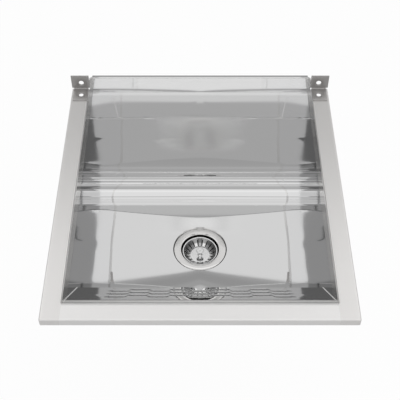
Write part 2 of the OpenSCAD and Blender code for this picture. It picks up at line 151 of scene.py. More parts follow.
def resampled(path: Sequence[Side], longest: float) -> list[Side]:
    """Splits the long stretches of a path and holds their ends, so that flats shade flat up to a bend.

    Args:
        path: The points.
        longest: Length above which a stretch is split.

    Returns:
        The path with more points.
    """
    hold = 0.3
    long_share = 0.6
    made = [tuple(path[0])]
    for a, b in zip(path, path[1:]):
        length = math.dist(a, b)
        shares = between(0, 1, max(1, math.ceil(length / longest - 1e-6)))[1:]
        if length > longest * long_share:
            shares = [hold / length, *shares[:-1], 1 - hold / length, 1.0]
        made += [(a[0] + (b[0] - a[0]) * k, a[1] + (b[1] - a[1]) * k) for k in shares]
    return made


def border(xs: Sequence[float], ys: Sequence[float]) -> list[Side]:
    """Goes once round the edge of a grid.

    Args:
        xs: Places of its columns.
        ys: Places of its rows.

    Returns:
        The points, from the first corner.
    """
    near = [(x, ys[0]) for x in xs] + [(xs[-1], y) for y in ys[1:]]
    return near + [(x, ys[-1]) for x in xs[-2::-1]] + [(xs[0], y) for y in ys[-2:0:-1]]


def ring_round(hole: Side, edge: Sequence[Side], radius: float, share: float = 0.0) -> list[Side]:
    """Lays a ring of points between a circle round a hole and an edge.

    Args:
        hole: The hole's centre.
        edge: The edge's points.
        radius: The circle's radius.
        share: Share of the way from the circle to the edge.

    Returns:
        One point for each of the edge's.
    """
    ways = [Vector((x - hole[0], y - hole[1])) for x, y in edge]
    spots = [(way.normalized() * radius).lerp(way, share) for way in ways]
    return [(hole[0] + spot.x, hole[1] + spot.y) for spot in spots]


# Node wiring

class Wire:
    """A node's output that adds its own Math nodes when it is used in a sum."""

    def __init__(self, sheet: "NodeSheet", socket: bpy.types.NodeSocket) -> None:
        """Keeps the output socket and the sheet that new nodes go to."""
        self.sheet = sheet
        self.socket = socket

    def math(self, operation: str, *others: Value) -> "Wire":
        """Returns this value put through a Math node, with up to two other values."""
        return self.sheet.sum(operation, self, *others)

    def __add__(self, other: Value) -> "Wire":
        """Returns the sum."""
        return self.math("ADD", other)

    __radd__ = __add__

    def __sub__(self, other: Value) -> "Wire":
        """Returns this value less the other."""
        return self.math("SUBTRACT", other)

    def __rsub__(self, other: Number) -> "Wire":
        """Returns the other less this value."""
        return self.sheet.sum("SUBTRACT", other, self)

    def __mul__(self, other: Value) -> "Wire":
        """Returns the product."""
        return self.math("MULTIPLY", other)

    __rmul__ = __mul__

    def __truediv__(self, other: Value) -> "Wire":
        """Returns this value divided by the other."""
        return self.math("DIVIDE", other)

    def __pow__(self, other: Value) -> "Wire":
        """Returns this value to a power."""
        return self.math("POWER", other)

    def __lt__(self, other: Value) -> "Wire":
        """Returns 1 where this value is below the other."""
        return self.math("LESS_THAN", other)

    def __gt__(self, other: Value) -> "Wire":
        """Returns 1 where this value is above the other."""
        return self.math("GREATER_THAN", other)

    def most(self, other: Value) -> "Wire":
        """Returns the larger of the two."""
        return self.math("MAXIMUM", other)

    def least(self, other: Value) -> "Wire":
        """Returns the smaller of the two."""
        return self.math("MINIMUM", other)

    def eased(self, low: float, high: float) -> "Wire":
        """Returns a smooth step from 0 at low to 1 at high."""
        return self.sheet.wire(self.sheet.node("ShaderNodeMapRange", {"interpolation_type": "SMOOTHSTEP"},
                                               {"Value": self, "From Min": low, "From Max": high}))


Feed = Union[Wire, Number, Sequence[float], bpy.types.ID, str, bool]


class NodeSheet:
    """A node tree that a script wires up."""

    def __init__(self, tree: bpy.types.NodeTree) -> None:
        """Clears the tree and keeps it."""
        self.tree = tree
        tree.nodes.clear()

    @cached_property
    def place(self) -> Wire:
        """Returns the place on the object, for a material."""
        return self.wire(self.node("ShaderNodeTexCoord"), "Object")

    def node(self, kind: str, settings: Optional[dict] = None,
             inputs: Optional[dict[Union[str, int], Feed]] = None) -> bpy.types.Node:
        """Adds one node.

        Args:
            kind: The node's type.
            settings: Its properties.
            inputs: Values or wires for its sockets, by name or number.

        Returns:
            The node.
        """
        made = self.tree.nodes.new(kind)
        for name, value in (settings or {}).items():
            setattr(made, name, value)
        for name, value in (inputs or {}).items():
            socket = made.inputs[name]
            if isinstance(value, Wire):
                self.tree.links.new(value.socket, socket)
            else:
                socket.default_value = value
        return made

    def wire(self, node: bpy.types.Node, output: Union[str, int] = 0) -> Wire:
        """Returns one of the node's outputs as a wire."""
        return Wire(self, node.outputs[output])

    def sum(self, operation: str, *values: Value) -> Wire:
        """Returns the result of one Math node."""
        return self.wire(self.node("ShaderNodeMath", {"operation": operation}, dict(enumerate(values))))

    def parts(self, vector: Wire) -> tuple[Wire, Wire, Wire]:
        """Returns the X, Y and Z of a vector."""
        split = self.node("ShaderNodeSeparateXYZ", None, {0: vector})
        return self.wire(split, 0), self.wire(split, 1), self.wire(split, 2)

    def joined(self, x: Feed, y: Feed, z: Feed) -> Wire:
        """Returns the vector of three values."""
        return self.wire(self.node("ShaderNodeCombineXYZ", None, {0: x, 1: y, 2: z}))

    def noise(self, place: Wire, scale: float, detail: float = 3.0, rough: float = 0.5) -> Wire:
        """Returns soft noise from 0 to 1."""
        inputs = {"Vector": place, "Scale": scale, "Detail": detail, "Roughness": rough}
        return self.wire(self.node("ShaderNodeTexNoise", None, inputs))

    def bump(self, height: Wire, distance: float, strength: float = 1.0) -> Wire:
        """Returns the normal of a surface with that height."""
        inputs = {"Strength": strength, "Distance": distance, "Height": height}
        return self.wire(self.node("ShaderNodeBump", None, inputs))

    def blend(self, share: Feed, a: Feed, b: Feed) -> Wire:
        """Returns colour a where share is 0 and colour b where it is 1."""
        return self.wire(self.node("ShaderNodeMix", {"data_type": "RGBA"}, {0: share, 6: a, 7: b}), 2)

    def ray(self, kind: str) -> Wire:
        """Returns 1 for light paths of one kind."""
        return self.wire(self.node("ShaderNodeLightPath"), f"Is {kind} Ray")

    def curve(self, along: Wire, spots: Curve) -> Wire:
        """Returns a value from 0 to 2 that follows straight lines between spots.

        Args:
            along: The value that it depends on.
            spots: Pairs of that value and the result, in order.

        Returns:
            The result.
        """
        low, high = spots[0][0], spots[-1][0]
        ramp = self.node("ShaderNodeValToRGB", None, {0: (along - low) / (high - low)})
        elements = ramp.color_ramp.elements
        for k, (spot, value) in enumerate(spots):
            element = elements[k] if k < len(elements) else elements.new((spot - low) / (high - low))
            element.position = (spot - low) / (high - low)
            element.color = (value / 2, value / 2, value / 2, 1)
        return self.wire(ramp) * 2.0


def sheet_of(owner: Union[bpy.types.Material, bpy.types.World]) -> NodeSheet:
    """Turns on the owner's nodes and returns its empty sheet."""
    owner.use_nodes = True
    return NodeSheet(owner.node_tree)


# Finishes

@dataclass(frozen=True)
class Finish:
    """A procedural material, built once."""

    name: str
    tone: Colour
    roughness: float

    def inputs(self, sheet: NodeSheet) -> dict[str, Feed]:
        """Wires up the shader, and returns its inputs by name."""
        raise NotImplementedError

    @cached_property
    def material(self) -> bpy.types.Material:
        """Builds the material.

        Returns:
            The material.
        """
        made = bpy.data.materials.new(self.name)
        sheet = sheet_of(made)
        shader = sheet.node("ShaderNodeBsdfPrincipled", None, self.inputs(sheet))
        sheet.node("ShaderNodeOutputMaterial", None, {"Surface": sheet.wire(shader)})
        return made


class Grain(Enum):
    """The way in which fine lines run, as the noise's scale along X (or the radius), Y and Z."""

    DEPTH = (1, 0.006, 1)
    WIDTH = (0.006, 1, 1)
    HEIGHT = (1, 1, 0.006)
    SHEET = (1, 0.004, 0.004)
    TURNED = (1, 0, 0.02)
    NONE = (1, 1, 1)


@dataclass(frozen=True)
class Spot:
    """A region of a finish that looks different.

    Attributes:
        tone: Share of the finish's tone there.
        roughness: Roughness there.
        limits: Ranges that the region keeps to, each as (measure, low, high, width of the soft border), in
            millimetres. The measures are "side" from the tub's middle, "depth" from the wall, "height" above
            the rim, "lift" above the washboard's face and "radius" from the drain's axis.
        metallic: Metallic there.
    """

    tone: float
    roughness: float
    limits: tuple[tuple[str, float, float, float], ...]
    metallic: float = 1.0

    def share(self, sheet: NodeSheet) -> Wire:
        """Finds the region.

        Args:
            sheet: The material's node sheet.

        Returns:
            1 inside it and 0 outside.
        """
        x, y, z = (part / MM for part in sheet.parts(sheet.place))
        back = y + DRAIN_D
        lift = (z - RIM_Z - CREASE[1]) * math.cos(SLOPE_ANGLE) + (y + CREASE[0]) * math.sin(SLOPE_ANGLE)
        measures = {"side": x.math("ABSOLUTE"), "depth": y * -1, "height": z - RIM_Z, "lift": lift,
                    "radius": (x * x + back * back) ** 0.5}
        shares = [measures[name].eased(low - soft, low) * (1 - measures[name].eased(high, high + soft))
                  for name, low, high, soft in self.limits]
        return math.prod(shares[1:], start=shares[0])


@dataclass(frozen=True)
class Metal(Finish):
    """A metal with fine lines and soft clouding.

    Attributes:
        grain_depth: Height of the lines, in millimetres.
        grain_size: Lines for each metre.
        streak: How far streaks change the tone.
        cloud: How far soft patches change the roughness.
        metallic: Below 1 for a surface whose fine grain scatters light like a matt one.
    """

    grain: Grain = Grain.NONE
    grain_depth: float = 0.0
    grain_size: float = 1200.0
    streak: float = 0.03
    cloud: float = 0.02
    metallic: float = 1.0
    spots: tuple[Spot, ...] = ()

    def toned(self, share: float) -> list[float]:
        """Returns the colour at a share of its tone."""
        return [min(1.0, c * share) for c in self.tone] + [1.0]

    def lines(self, sheet: NodeSheet) -> Wire:
        """Draws noise out along the grain.

        Args:
            sheet: The material's node sheet.

        Returns:
            Noise from 0 to 1.
        """
        x, y, z = sheet.parts(sheet.place)
        across, along, up = self.grain.value
        if self.grain is Grain.TURNED:
            back = y + DRAIN_D * MM
            radius = (x * x + back * back) ** 0.5
            return sheet.noise(sheet.joined(radius, 0.0, z * up), self.grain_size, rough=0.7)
        return sheet.noise(sheet.joined(x * across, y * along, z * up), self.grain_size, rough=0.65)

    def inputs(self, sheet: NodeSheet) -> dict[str, Feed]:
        """Wires up the lines, the clouding and the regions.

        Args:
            sheet: The material's node sheet.

        Returns:
            The shader's inputs by name.
        """
        lines = self.lines(sheet)
        cloud = sheet.noise(sheet.place, 14.0)
        dark, pale = self.toned(1 - self.streak), self.toned(1 + self.streak)
        tone = sheet.blend(lines * 0.6 + cloud * 0.4, dark, pale)
        rough = (cloud - 0.5) * (2 * self.cloud) + (lines - 0.5) * (2 * self.cloud) + self.roughness
        metallic: Feed = self.metallic
        for spot in self.spots:
            share = spot.share(sheet)
            if spot.metallic != self.metallic:
                metallic = share * (spot.metallic - metallic) + metallic
            tone = sheet.blend(share, tone, self.toned(spot.tone))
            rough = rough + share * (spot.roughness - rough)
        normal = sheet.bump(lines * self.grain_depth, MM)
        return {"Base Color": tone, "Roughness": rough, "Metallic": metallic, "Normal": normal}


@dataclass(frozen=True)
class Dull(Finish):
    """A rubber, fibre or plastic finish.

    Attributes:
        fleck_size: Specks for each metre.
        relief: Height of its texture, in millimetres.
    """

    fleck: Colour
    fleck_size: float = 900.0
    relief: float = 0.03
    coat: float = 0.0

    def inputs(self, sheet: NodeSheet) -> dict[str, Feed]:
        """Wires up the specks.

        Args:
            sheet: The material's node sheet.

        Returns:
            The shader's inputs by name.
        """
        speck = sheet.noise(sheet.place, self.fleck_size, 4.0, 0.7)
        tone = sheet.blend(speck.eased(0.45, 0.65), (*self.tone, 1), (*self.fleck, 1))
        rough = (speck - 0.5) * 0.2 + self.roughness
        normal = sheet.bump(speck, self.relief * MM, 0.6)
        return {"Base Color": tone, "Roughness": rough, "Coat Weight": self.coat, "Normal": normal}


FAR = 9000.0
BARE = 0.36
LIP = tuple(Spot(1.0, BARE, ((way, edge, FAR, 0.1),), 0.7)
            for way, edge in (("side", 263.0), ("depth", 563.0)))
IN_SKIRT = (("side", 0.0, 231.4, 0.4), ("height", -FAR, -3.4, 0.6))
SKIRT = Spot(1.0, 0.08, (*IN_SKIRT, ("depth", 4.0, 560.0, 1.0)))
# Painted shade: the skirt's inner face is darker at the back corner and lightens towards the front.
PAINTED_SKIRT_BACK_SHADE = Spot(0.55, 0.10, (*IN_SKIRT, ("depth", -1.0, 40.0, 90.0)))
# Painted shade: the rim's top is darker near the back and fades out towards the front.
PAINTED_RIM_BACK_SHADE = Spot(0.80, BARE, (("depth", -FAR, 60.0, 440.0), ("height", -3.5, FAR, 0.5)), 0.7)
# Painted light: the lower front wall has a lighter tone than the rest of the same sheet.
PAINTED_FRONT_WALL_LIGHT = Spot(1.141, 0.02, (("depth", 323.0, FAR, 1.0), ("height", -FAR, -134.0, 1.0)))
# Painted light: the washboard's face has a lighter tone than the rest of the same sheet.
PAINTED_SLOPE_LIGHT = Spot(1.17, 0.02, (("depth", 409.0, FAR, 1.0), ("height", -131.0, 0.0, 1.0)))
# Painted shade on the flanks of the washboard's pressed ridges.
PAINTED_RIDGE_SHADE = Spot(0.30, 0.10, (("depth", 412.0, 505.0, 1.0), ("side", -1.0, 229.0, 0.5),
                           ("lift", 0.16, 1.15, 0.08)))
# Painted shade: a dark line along the front rim's fold onto the washboard.
PAINTED_FOLD_SHADE = Spot(0.35, BARE, (("depth", 526.6, 529.0, 0.5), ("height", -FAR, -0.6, 0.3)))
# Painted shade: a dark band along the lower edge of the front rim's skirt, where it lies over the washboard.
PAINTED_SKIRT_EDGE_SHADE = Spot(0.45, BARE, (("depth", 505.0, 510.5, 0.6), ("height", -FAR, -8.0, 1.0)))
ON_WALL = ("depth", 5.6, 7.5, 0.3)
# A satin patch on the back wall: its roughness is real, and its tone is lifted as painted light to even out
# the drain's reflection.
SATIN_WALL_PAINTED_LIGHT = Spot(1.03, 0.24, (("side", -1.0, 48.0, 75.0), ON_WALL, ("height", -158.0, -104.0, 42.0)))
# The patch's middle, satin and lighter still: painted light over the basket's dark reflection.
SATIN_MIDDLE_PAINTED_LIGHT = Spot(1.17, 0.24, (("side", -1.0, 16.0, 50.0), ON_WALL, ("height", -134.0, -120.0, 40.0)))
# Painted shade: a dark ring in the recess round the drain's flange.
PAINTED_RING_SHADE = Spot(0.22, 0.10, (("radius", 56.7, 58.1, 0.3), ("height", -FAR, -290.0, 1.0)))
# Painted shade: the strainer cup's inside, below the basket, is near black.
PAINTED_CUP_SHADE = Spot(0.06, 0.45, (("radius", 0.0, 41.9, 0.2), ("height", -331.2, -306.5, 0.8)))
# Painted shade: a darker band across the basket's slotted cone.
PAINTED_WELL_SHADE = Spot(0.42, 0.12, (("radius", 29.5, 36.2, 2.5), ("height", -FAR, -311.5, 1.0)))
POLISHED = Metal("polished_sheet", (0.85, 0.85, 0.85), 0.02, Grain.SHEET, 0.0, 2500.0, 0.008, 0.004,
                 spots=(PAINTED_FRONT_WALL_LIGHT, PAINTED_SLOPE_LIGHT, PAINTED_RIDGE_SHADE, SATIN_WALL_PAINTED_LIGHT, SATIN_MIDDLE_PAINTED_LIGHT, PAINTED_RING_SHADE))
PANEL = Metal("polished_panel", (0.96, 0.96, 0.97), 0.02, Grain.DEPTH, streak=0.004, cloud=0.004)
RIM_DEPTH = Metal("satin_side_rim", (0.93, 0.915, 0.90), BARE, Grain.DEPTH, 0.004, 1500.0, 0.03, 0.03, 0.7,
                  (PAINTED_RIM_BACK_SHADE, *LIP, SKIRT, PAINTED_SKIRT_BACK_SHADE))
RIM_WIDTH = Metal("satin_front_rim", (0.97, 0.96, 0.95), BARE, Grain.WIDTH, 0.004, 1500.0, 0.03, 0.03, 0.6,
                  (*LIP, PAINTED_SKIRT_EDGE_SHADE, PAINTED_FOLD_SHADE))
BRACKET = Metal("mill_bracket", (0.50, 0.488, 0.48), 0.42, Grain.NONE, 0.02, 900.0, 0.14, 0.06)
WASTE = Metal("turned_waste", (0.85, 0.84, 0.83), 0.06, Grain.TURNED, 0.002, 1800.0, 0.07, 0.01,
              spots=(PAINTED_CUP_SHADE,))
BASKET = Metal("pressed_basket", (0.90, 0.90, 0.90), 0.10, Grain.TURNED, 0.001, 1500.0, 0.03, 0.02,
               spots=(PAINTED_WELL_SHADE,))
CAST = Metal("cast_nut", (0.62, 0.62, 0.59), 0.5, Grain.NONE, 0.05, 1100.0, 0.10, 0.08)
PLATED = Metal("plated_tube", (0.82, 0.82, 0.83), 0.08, Grain.HEIGHT, 0.0, 700.0, 0.02, 0.02)
WELD = Metal("weld_bead", (0.93, 0.93, 0.92), 0.25, Grain.WIDTH, 0.03, 1400.0, 0.04, 0.03)
RUBBER = Dull("black_rubber", (0.025, 0.025, 0.026), 0.62, (0.05, 0.05, 0.05))
FIBRE = Dull("pressed_fibre", (0.42, 0.29, 0.17), 0.8, (0.58, 0.43, 0.28), 600.0, 0.06)
PLASTIC = Dull("milky_plastic", (0.82, 0.82, 0.79), 0.42, (0.86, 0.86, 0.83), 300.0, 0.01, 0.15)


# Meshes

class Patchwork:
    """Grids of quads that share their points where they meet."""

    def __init__(self) -> None:
        """Starts empty."""
        self._points: list[Vector] = []
        self._index: dict[tuple[int, ...], int] = {}
        self._faces: list[tuple[int, ...]] = []

    def point(self, place: Vector) -> int:
        """Adds a point, unless there is one within about half a micrometre.

        Args:
            place: The point.

        Returns:
            Its number.
        """
        key = tuple(round(value * 2e6) for value in place)
        if key not in self._index:
            self._index[key] = len(self._points)
            self._points.append(place.copy())
        return self._index[key]

    def face(self, places: Iterable[Vector]) -> None:
        """Adds one face, without the points that fall together.

        Args:
            places: Its corners in order.
        """
        ring = tuple(dict.fromkeys(map(self.point, places)))
        if len(ring) > 2:
            self._faces.append(ring)

    def grid(self, rows: Sequence[Sequence[Vector]], ring: bool = False) -> "Patchwork":
        """Adds the quads between rows of points.

        Args:
            rows: Rows of equal length.
            ring: True if each row closes on itself.

        Returns:
            This patchwork.
        """
        for low, high in zip(rows, rows[1:]):
            count = len(low)
            for k in range(count if ring else count - 1):
                n = (k + 1) % count
                self.face((low[k], low[n], high[n], high[k]))
        return self

    def bar(self, rows: Sequence[Sequence[Vector]]) -> "Patchwork":
        """Adds a closed bar.

        Args:
            rows: Its sections, from one end to the other.

        Returns:
            This patchwork.
        """
        self.grid(rows, ring=True)
        self.face(rows[0])
        self.face(rows[-1])
        return self

    def mesh(self, name: str, look: Optional[tuple[Vector, Vector]] = None) -> Mesh:
        """Makes the mesh with its normals in order.

        Args:
            name: The mesh's name.
            look: For an open sheet, a place on it and the way that its visible face looks there.

        Returns:
            The mesh.
        """
        made = bpy.data.meshes.new(name)
        made.from_pydata([p[:] for p in self._points], [], self._faces)
        form = bmesh.new()
        form.from_mesh(made)
        bmesh.ops.recalc_face_normals(form, faces=form.faces[:])
        if look:
            nearest = min(form.faces, key=lambda f: (f.calc_center_median() - look[0]).length)
            if nearest.normal.dot(look[1]) < 0:
                bmesh.ops.reverse_faces(form, faces=form.faces[:])
        form.to_mesh(made)
        form.free()
        return made


def placed(name: str, data: bpy.types.ID) -> Piece:
    """Puts a new object in the scene.

    Args:
        name: Its name.
        data: Its mesh, lamp or camera.

    Returns:
        The object.
    """
    made = bpy.data.objects.new(name, data)
    bpy.context.scene.collection.objects.link(made)
    return made


def applied(piece: Piece) -> Piece:
    """Turns what the modifiers make of a piece into its plain mesh.

    Args:
        piece: The piece.

    Returns:
        The piece, without modifiers.
    """
    bpy.context.view_layer.update()
    graph = bpy.context.evaluated_depsgraph_get()
    shape = bpy.data.meshes.new_from_object(piece.evaluated_get(graph))
    piece.modifiers.clear()
    piece.data = shape
    return piece


def solid(mesh: Mesh, name: str, finish: Finish, thickness: float = 0.0, bevel: float = 0.0,
          sharp: float = 35.0, flat: bool = False) -> Piece:
    """Makes a finished object of a mesh.

    Args:
        mesh: Its surface.
        name: The piece's name.
        finish: What it is made of.
        thickness: Thickness of a sheet behind its visible face, in millimetres.
        bevel: Width of the bevel on its edges, in millimetres.
        sharp: Edges that turn more than this many degrees stay sharp.
        flat: True for a flat sheet, whose thickness needs no evening out at bends.

    Returns:
        The object, with nothing left to apply.
    """
    made = placed(name, mesh)
    if thickness:
        wall = made.modifiers.new("thickness", "SOLIDIFY")
        wall.thickness, wall.offset = thickness * MM, -1
        wall.use_even_offset, wall.use_quality_normals = not flat, not flat
    if bevel:
        edge = made.modifiers.new("edges", "BEVEL")
        edge.width, edge.segments = bevel * MM, 2
        edge.limit_method, edge.angle_limit = "ANGLE", math.radians(sharp)
    if made.modifiers:
        applied(made)
    made.data.materials.clear()
    made.data.materials.append(finish.material)
    made.data.polygons.foreach_set("use_smooth", [True] * len(made.data.polygons))
    made.data.set_sharp_from_angle(angle=math.radians(sharp))
    return made


def lathe(name: str, profile: Sequence[Side], count: int = 96, closed: bool = True) -> Mesh:
    """Turns a side view round the drain's axis.

    Args:
        name: The mesh's name.
        profile: Points as (radius, height above the floor's flat part), in millimetres.
        count: Facets round the axis.
        closed: True if the last point joins the first.

    Returns:
        The mesh.
    """
    loop = [*profile, profile[0]] if closed else profile
    return Patchwork().grid(around(loop, turns(count)), ring=True).mesh(name)


def joined(name: str, pieces: Sequence[Piece]) -> Piece:
    """Makes one object of several that lie untransformed at the origin.

    Args:
        name: Its name.
        pieces: The objects, each of one material.

    Returns:
        The object.
    """
    form = bmesh.new()
    for number, piece in enumerate(pieces):
        first = len(form.faces)
        form.from_mesh(piece.data)
        form.faces.ensure_lookup_table()
        for face in form.faces[first:]:
            face.material_index = number
    mesh = bpy.data.meshes.new(name)
    form.to_mesh(mesh)
    form.free()
    for piece in pieces:
        mesh.materials.append(piece.data.materials[0])
        bpy.data.objects.remove(piece)
    return placed(name, mesh)


def settle(piece: Piece, slot: str, *nodes: str, body: str = "tub") -> None:
    """Hands a finished piece to the frame.

    Args:
        piece: The piece.
        slot: Not used.
        nodes: The CAD nodes that it stands for.
        body: The CAD body that it rides on.
    """
    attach(piece, body)
    if nodes:
        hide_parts(*nodes)
    log.info("%s: %d faces on %s", piece.name, len(piece.data.polygons), body)


def dress(node: str, finish: Finish) -> None:
    """Gives a CAD node that stays a finish of its own.

    Args:
        node: Its name.
        finish: What it is made of.
    """
    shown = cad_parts[node]
    shown.data.materials.clear()
    shown.data.materials.append(finish.material)
    log.info("%s: kept, in %s", node, finish.name)


# Geometry nodes

class GeometryTool:
    """A geometry node tree with named inputs, which shapes a mesh once."""

    def __init__(self, name: str, numbers: dict[str, float]) -> None:
        """Makes the tree's inputs.

        Args:
            name: The tree's name.
            numbers: Its sizes by name.
        """
        self.tree = bpy.data.node_groups.new(name, "GeometryNodeTree")
        self.tree.is_modifier = True
        self.sheet = NodeSheet(self.tree)
        panel = self.tree.interface
        panel.new_socket("Geometry", in_out="OUTPUT", socket_type="NodeSocketGeometry")
        panel.new_socket("Geometry", in_out="INPUT", socket_type="NodeSocketGeometry")
        self._sockets = {n: panel.new_socket(n, in_out="INPUT", socket_type="NodeSocketFloat").identifier
                         for n in numbers}
        self._finish = panel.new_socket("Finish", in_out="INPUT", socket_type="NodeSocketMaterial").identifier
        self._numbers = numbers
        self._entry = self.sheet.node("NodeGroupInput")

    def value(self, name: str) -> Wire:
        """Returns one of the tree's inputs."""
        return self.sheet.wire(self._entry, name)

    def step(self, kind: str, inputs: Optional[dict[Union[str, int], Feed]] = None) -> Wire:
        """Adds a node and returns its first output."""
        return self.sheet.wire(self.sheet.node(kind, None, inputs))

    def close(self, geometry: Wire) -> None:
        """Ends the tree in plain geometry with its material.

        Args:
            geometry: What the tree has made.
        """
        real = self.step("GeometryNodeRealizeInstances", {0: geometry})
        painted = self.step("GeometryNodeSetMaterial", {"Geometry": real, "Material": self.value("Finish")})
        self.sheet.node("NodeGroupOutput", None, {0: painted})

    def shape(self, mesh: Mesh, finish: Finish) -> Mesh:
        """Runs the tree on a mesh.

        Args:
            mesh: What it starts from.
            finish: What the result is made of.

        Returns:
            The result as a plain mesh.
        """
        piece = placed(self.tree.name, mesh)
        tool = piece.modifiers.new(self.tree.name, "NODES")
        tool.node_group = self.tree
        for name, identifier in self._sockets.items():
            tool[identifier] = float(self._numbers[name])
        tool[self._finish] = finish.material
        made = applied(piece).data
        bpy.data.objects.remove(piece)
        return made


class RidgeTool(GeometryTool):
    """Presses the staggered ridges into the washboard."""

    def __init__(self) -> None:
        """Builds the tree that raises each point of the slope by the ridge that it lies on."""
        super().__init__("pressed_ridges", {
            "Ridge length": 38 * MM, "Ridge width": 13 * MM, "Ridge height": 1.8 * MM, "Ridge foot": 1.2 * MM,
            "Pitch": 73 * MM, "Row pitch": 17 * MM, "First row": 27 * MM, "Rows": 6, "Longer row": 5,
            "Start": 6 * MM})
        x, y, z = self.sheet.parts(self.step("GeometryNodeInputPosition"))
        cos, sin = math.cos(SLOPE_ANGLE), math.sin(SLOPE_ANGLE)
        origin = at(0, *CREASE)
        run = (y - origin.y) * -cos + (z - origin.z) * sin
        row = ((run - self.value("First row")) / self.value("Row pitch")).math("ROUND")
        row = row.most(0.0).least(self.value("Rows") - 1)
        up = run - self.value("First row") - row * self.value("Row pitch")
        last = self.value("Longer row") - 2 + row.math("MODULO", 2.0)
        spot = (x / self.value("Pitch") + last / 2).math("ROUND").most(0.0).least(last)
        side = (x - (spot - last / 2) * self.value("Pitch")).math("ABSOLUTE")
        width, high = self.value("Ridge width"), self.value("Ridge height")
        over = (side - (self.value("Ridge length") - width) / 2).most(0.0)
        reach = over * over + up * up
        ball = (high * high + width * width / 4) / (high * 2)
        lift = (ball * ball - reach).most(0.0) ** 0.5 - ball + high
        lift = lift.math("SMOOTH_MAX", 0.0, self.value("Ridge foot"))
        self.close(self.step("GeometryNodeSetPosition", {
            "Geometry": self.value("Geometry"), "Selection": run > self.value("Start"),
            "Offset": self.sheet.joined(0.0, lift * sin, lift * cos)}))


class RoundTool(GeometryTool):
    """Repeats a piece round the drain's axis."""

    def __init__(self, name: str, count: int) -> None:
        """Builds the tree that sets copies of the piece at equal angles and merges their edges.

        Args:
            name: The tree's name.
            count: Number of copies.
        """
        super().__init__(name, {"Copies": count, "Merge distance": 0.02 * MM})
        centre = at_drain(0, 0, 0)
        centre.z = 0
        home = self.step("GeometryNodeTransform",
                         {"Geometry": self.value("Geometry"), "Translation": (-centre)[:]})
        points = self.step("GeometryNodePoints", {"Count": self.value("Copies"), "Position": centre[:]})
        turn = self.step("GeometryNodeInputIndex") * (2 * math.pi) / self.value("Copies")
        copies = self.step("GeometryNodeInstanceOnPoints", {
            "Points": points, "Instance": home, "Rotation": self.sheet.joined(0.0, 0.0, turn)})
        real = self.step("GeometryNodeRealizeInstances", {0: copies})
        self.close(self.step("GeometryNodeMergeByDistance",
                             {"Geometry": real, "Distance": self.value("Merge distance")}))


class StackTool(GeometryTool):
    """Repeats a piece upwards."""

    def __init__(self, name: str, count: int, pitch: float) -> None:
        """Builds the tree that sets copies of the piece above each other.

        Args:
            name: The tree's name.
            count: Number of copies.
            pitch: Height from one copy to the next, in millimetres.
        """
        super().__init__(name, {"Copies": count, "Pitch": pitch * MM})
        up = self.step("GeometryNodeInputIndex") * self.value("Pitch")
        points = self.step("GeometryNodePoints",
                           {"Count": self.value("Copies"), "Position": self.sheet.joined(0.0, 0.0, up)})
        self.close(self.step("GeometryNodeInstanceOnPoints",
                             {"Points": points, "Instance": self.value("Geometry")}))


# The bowl

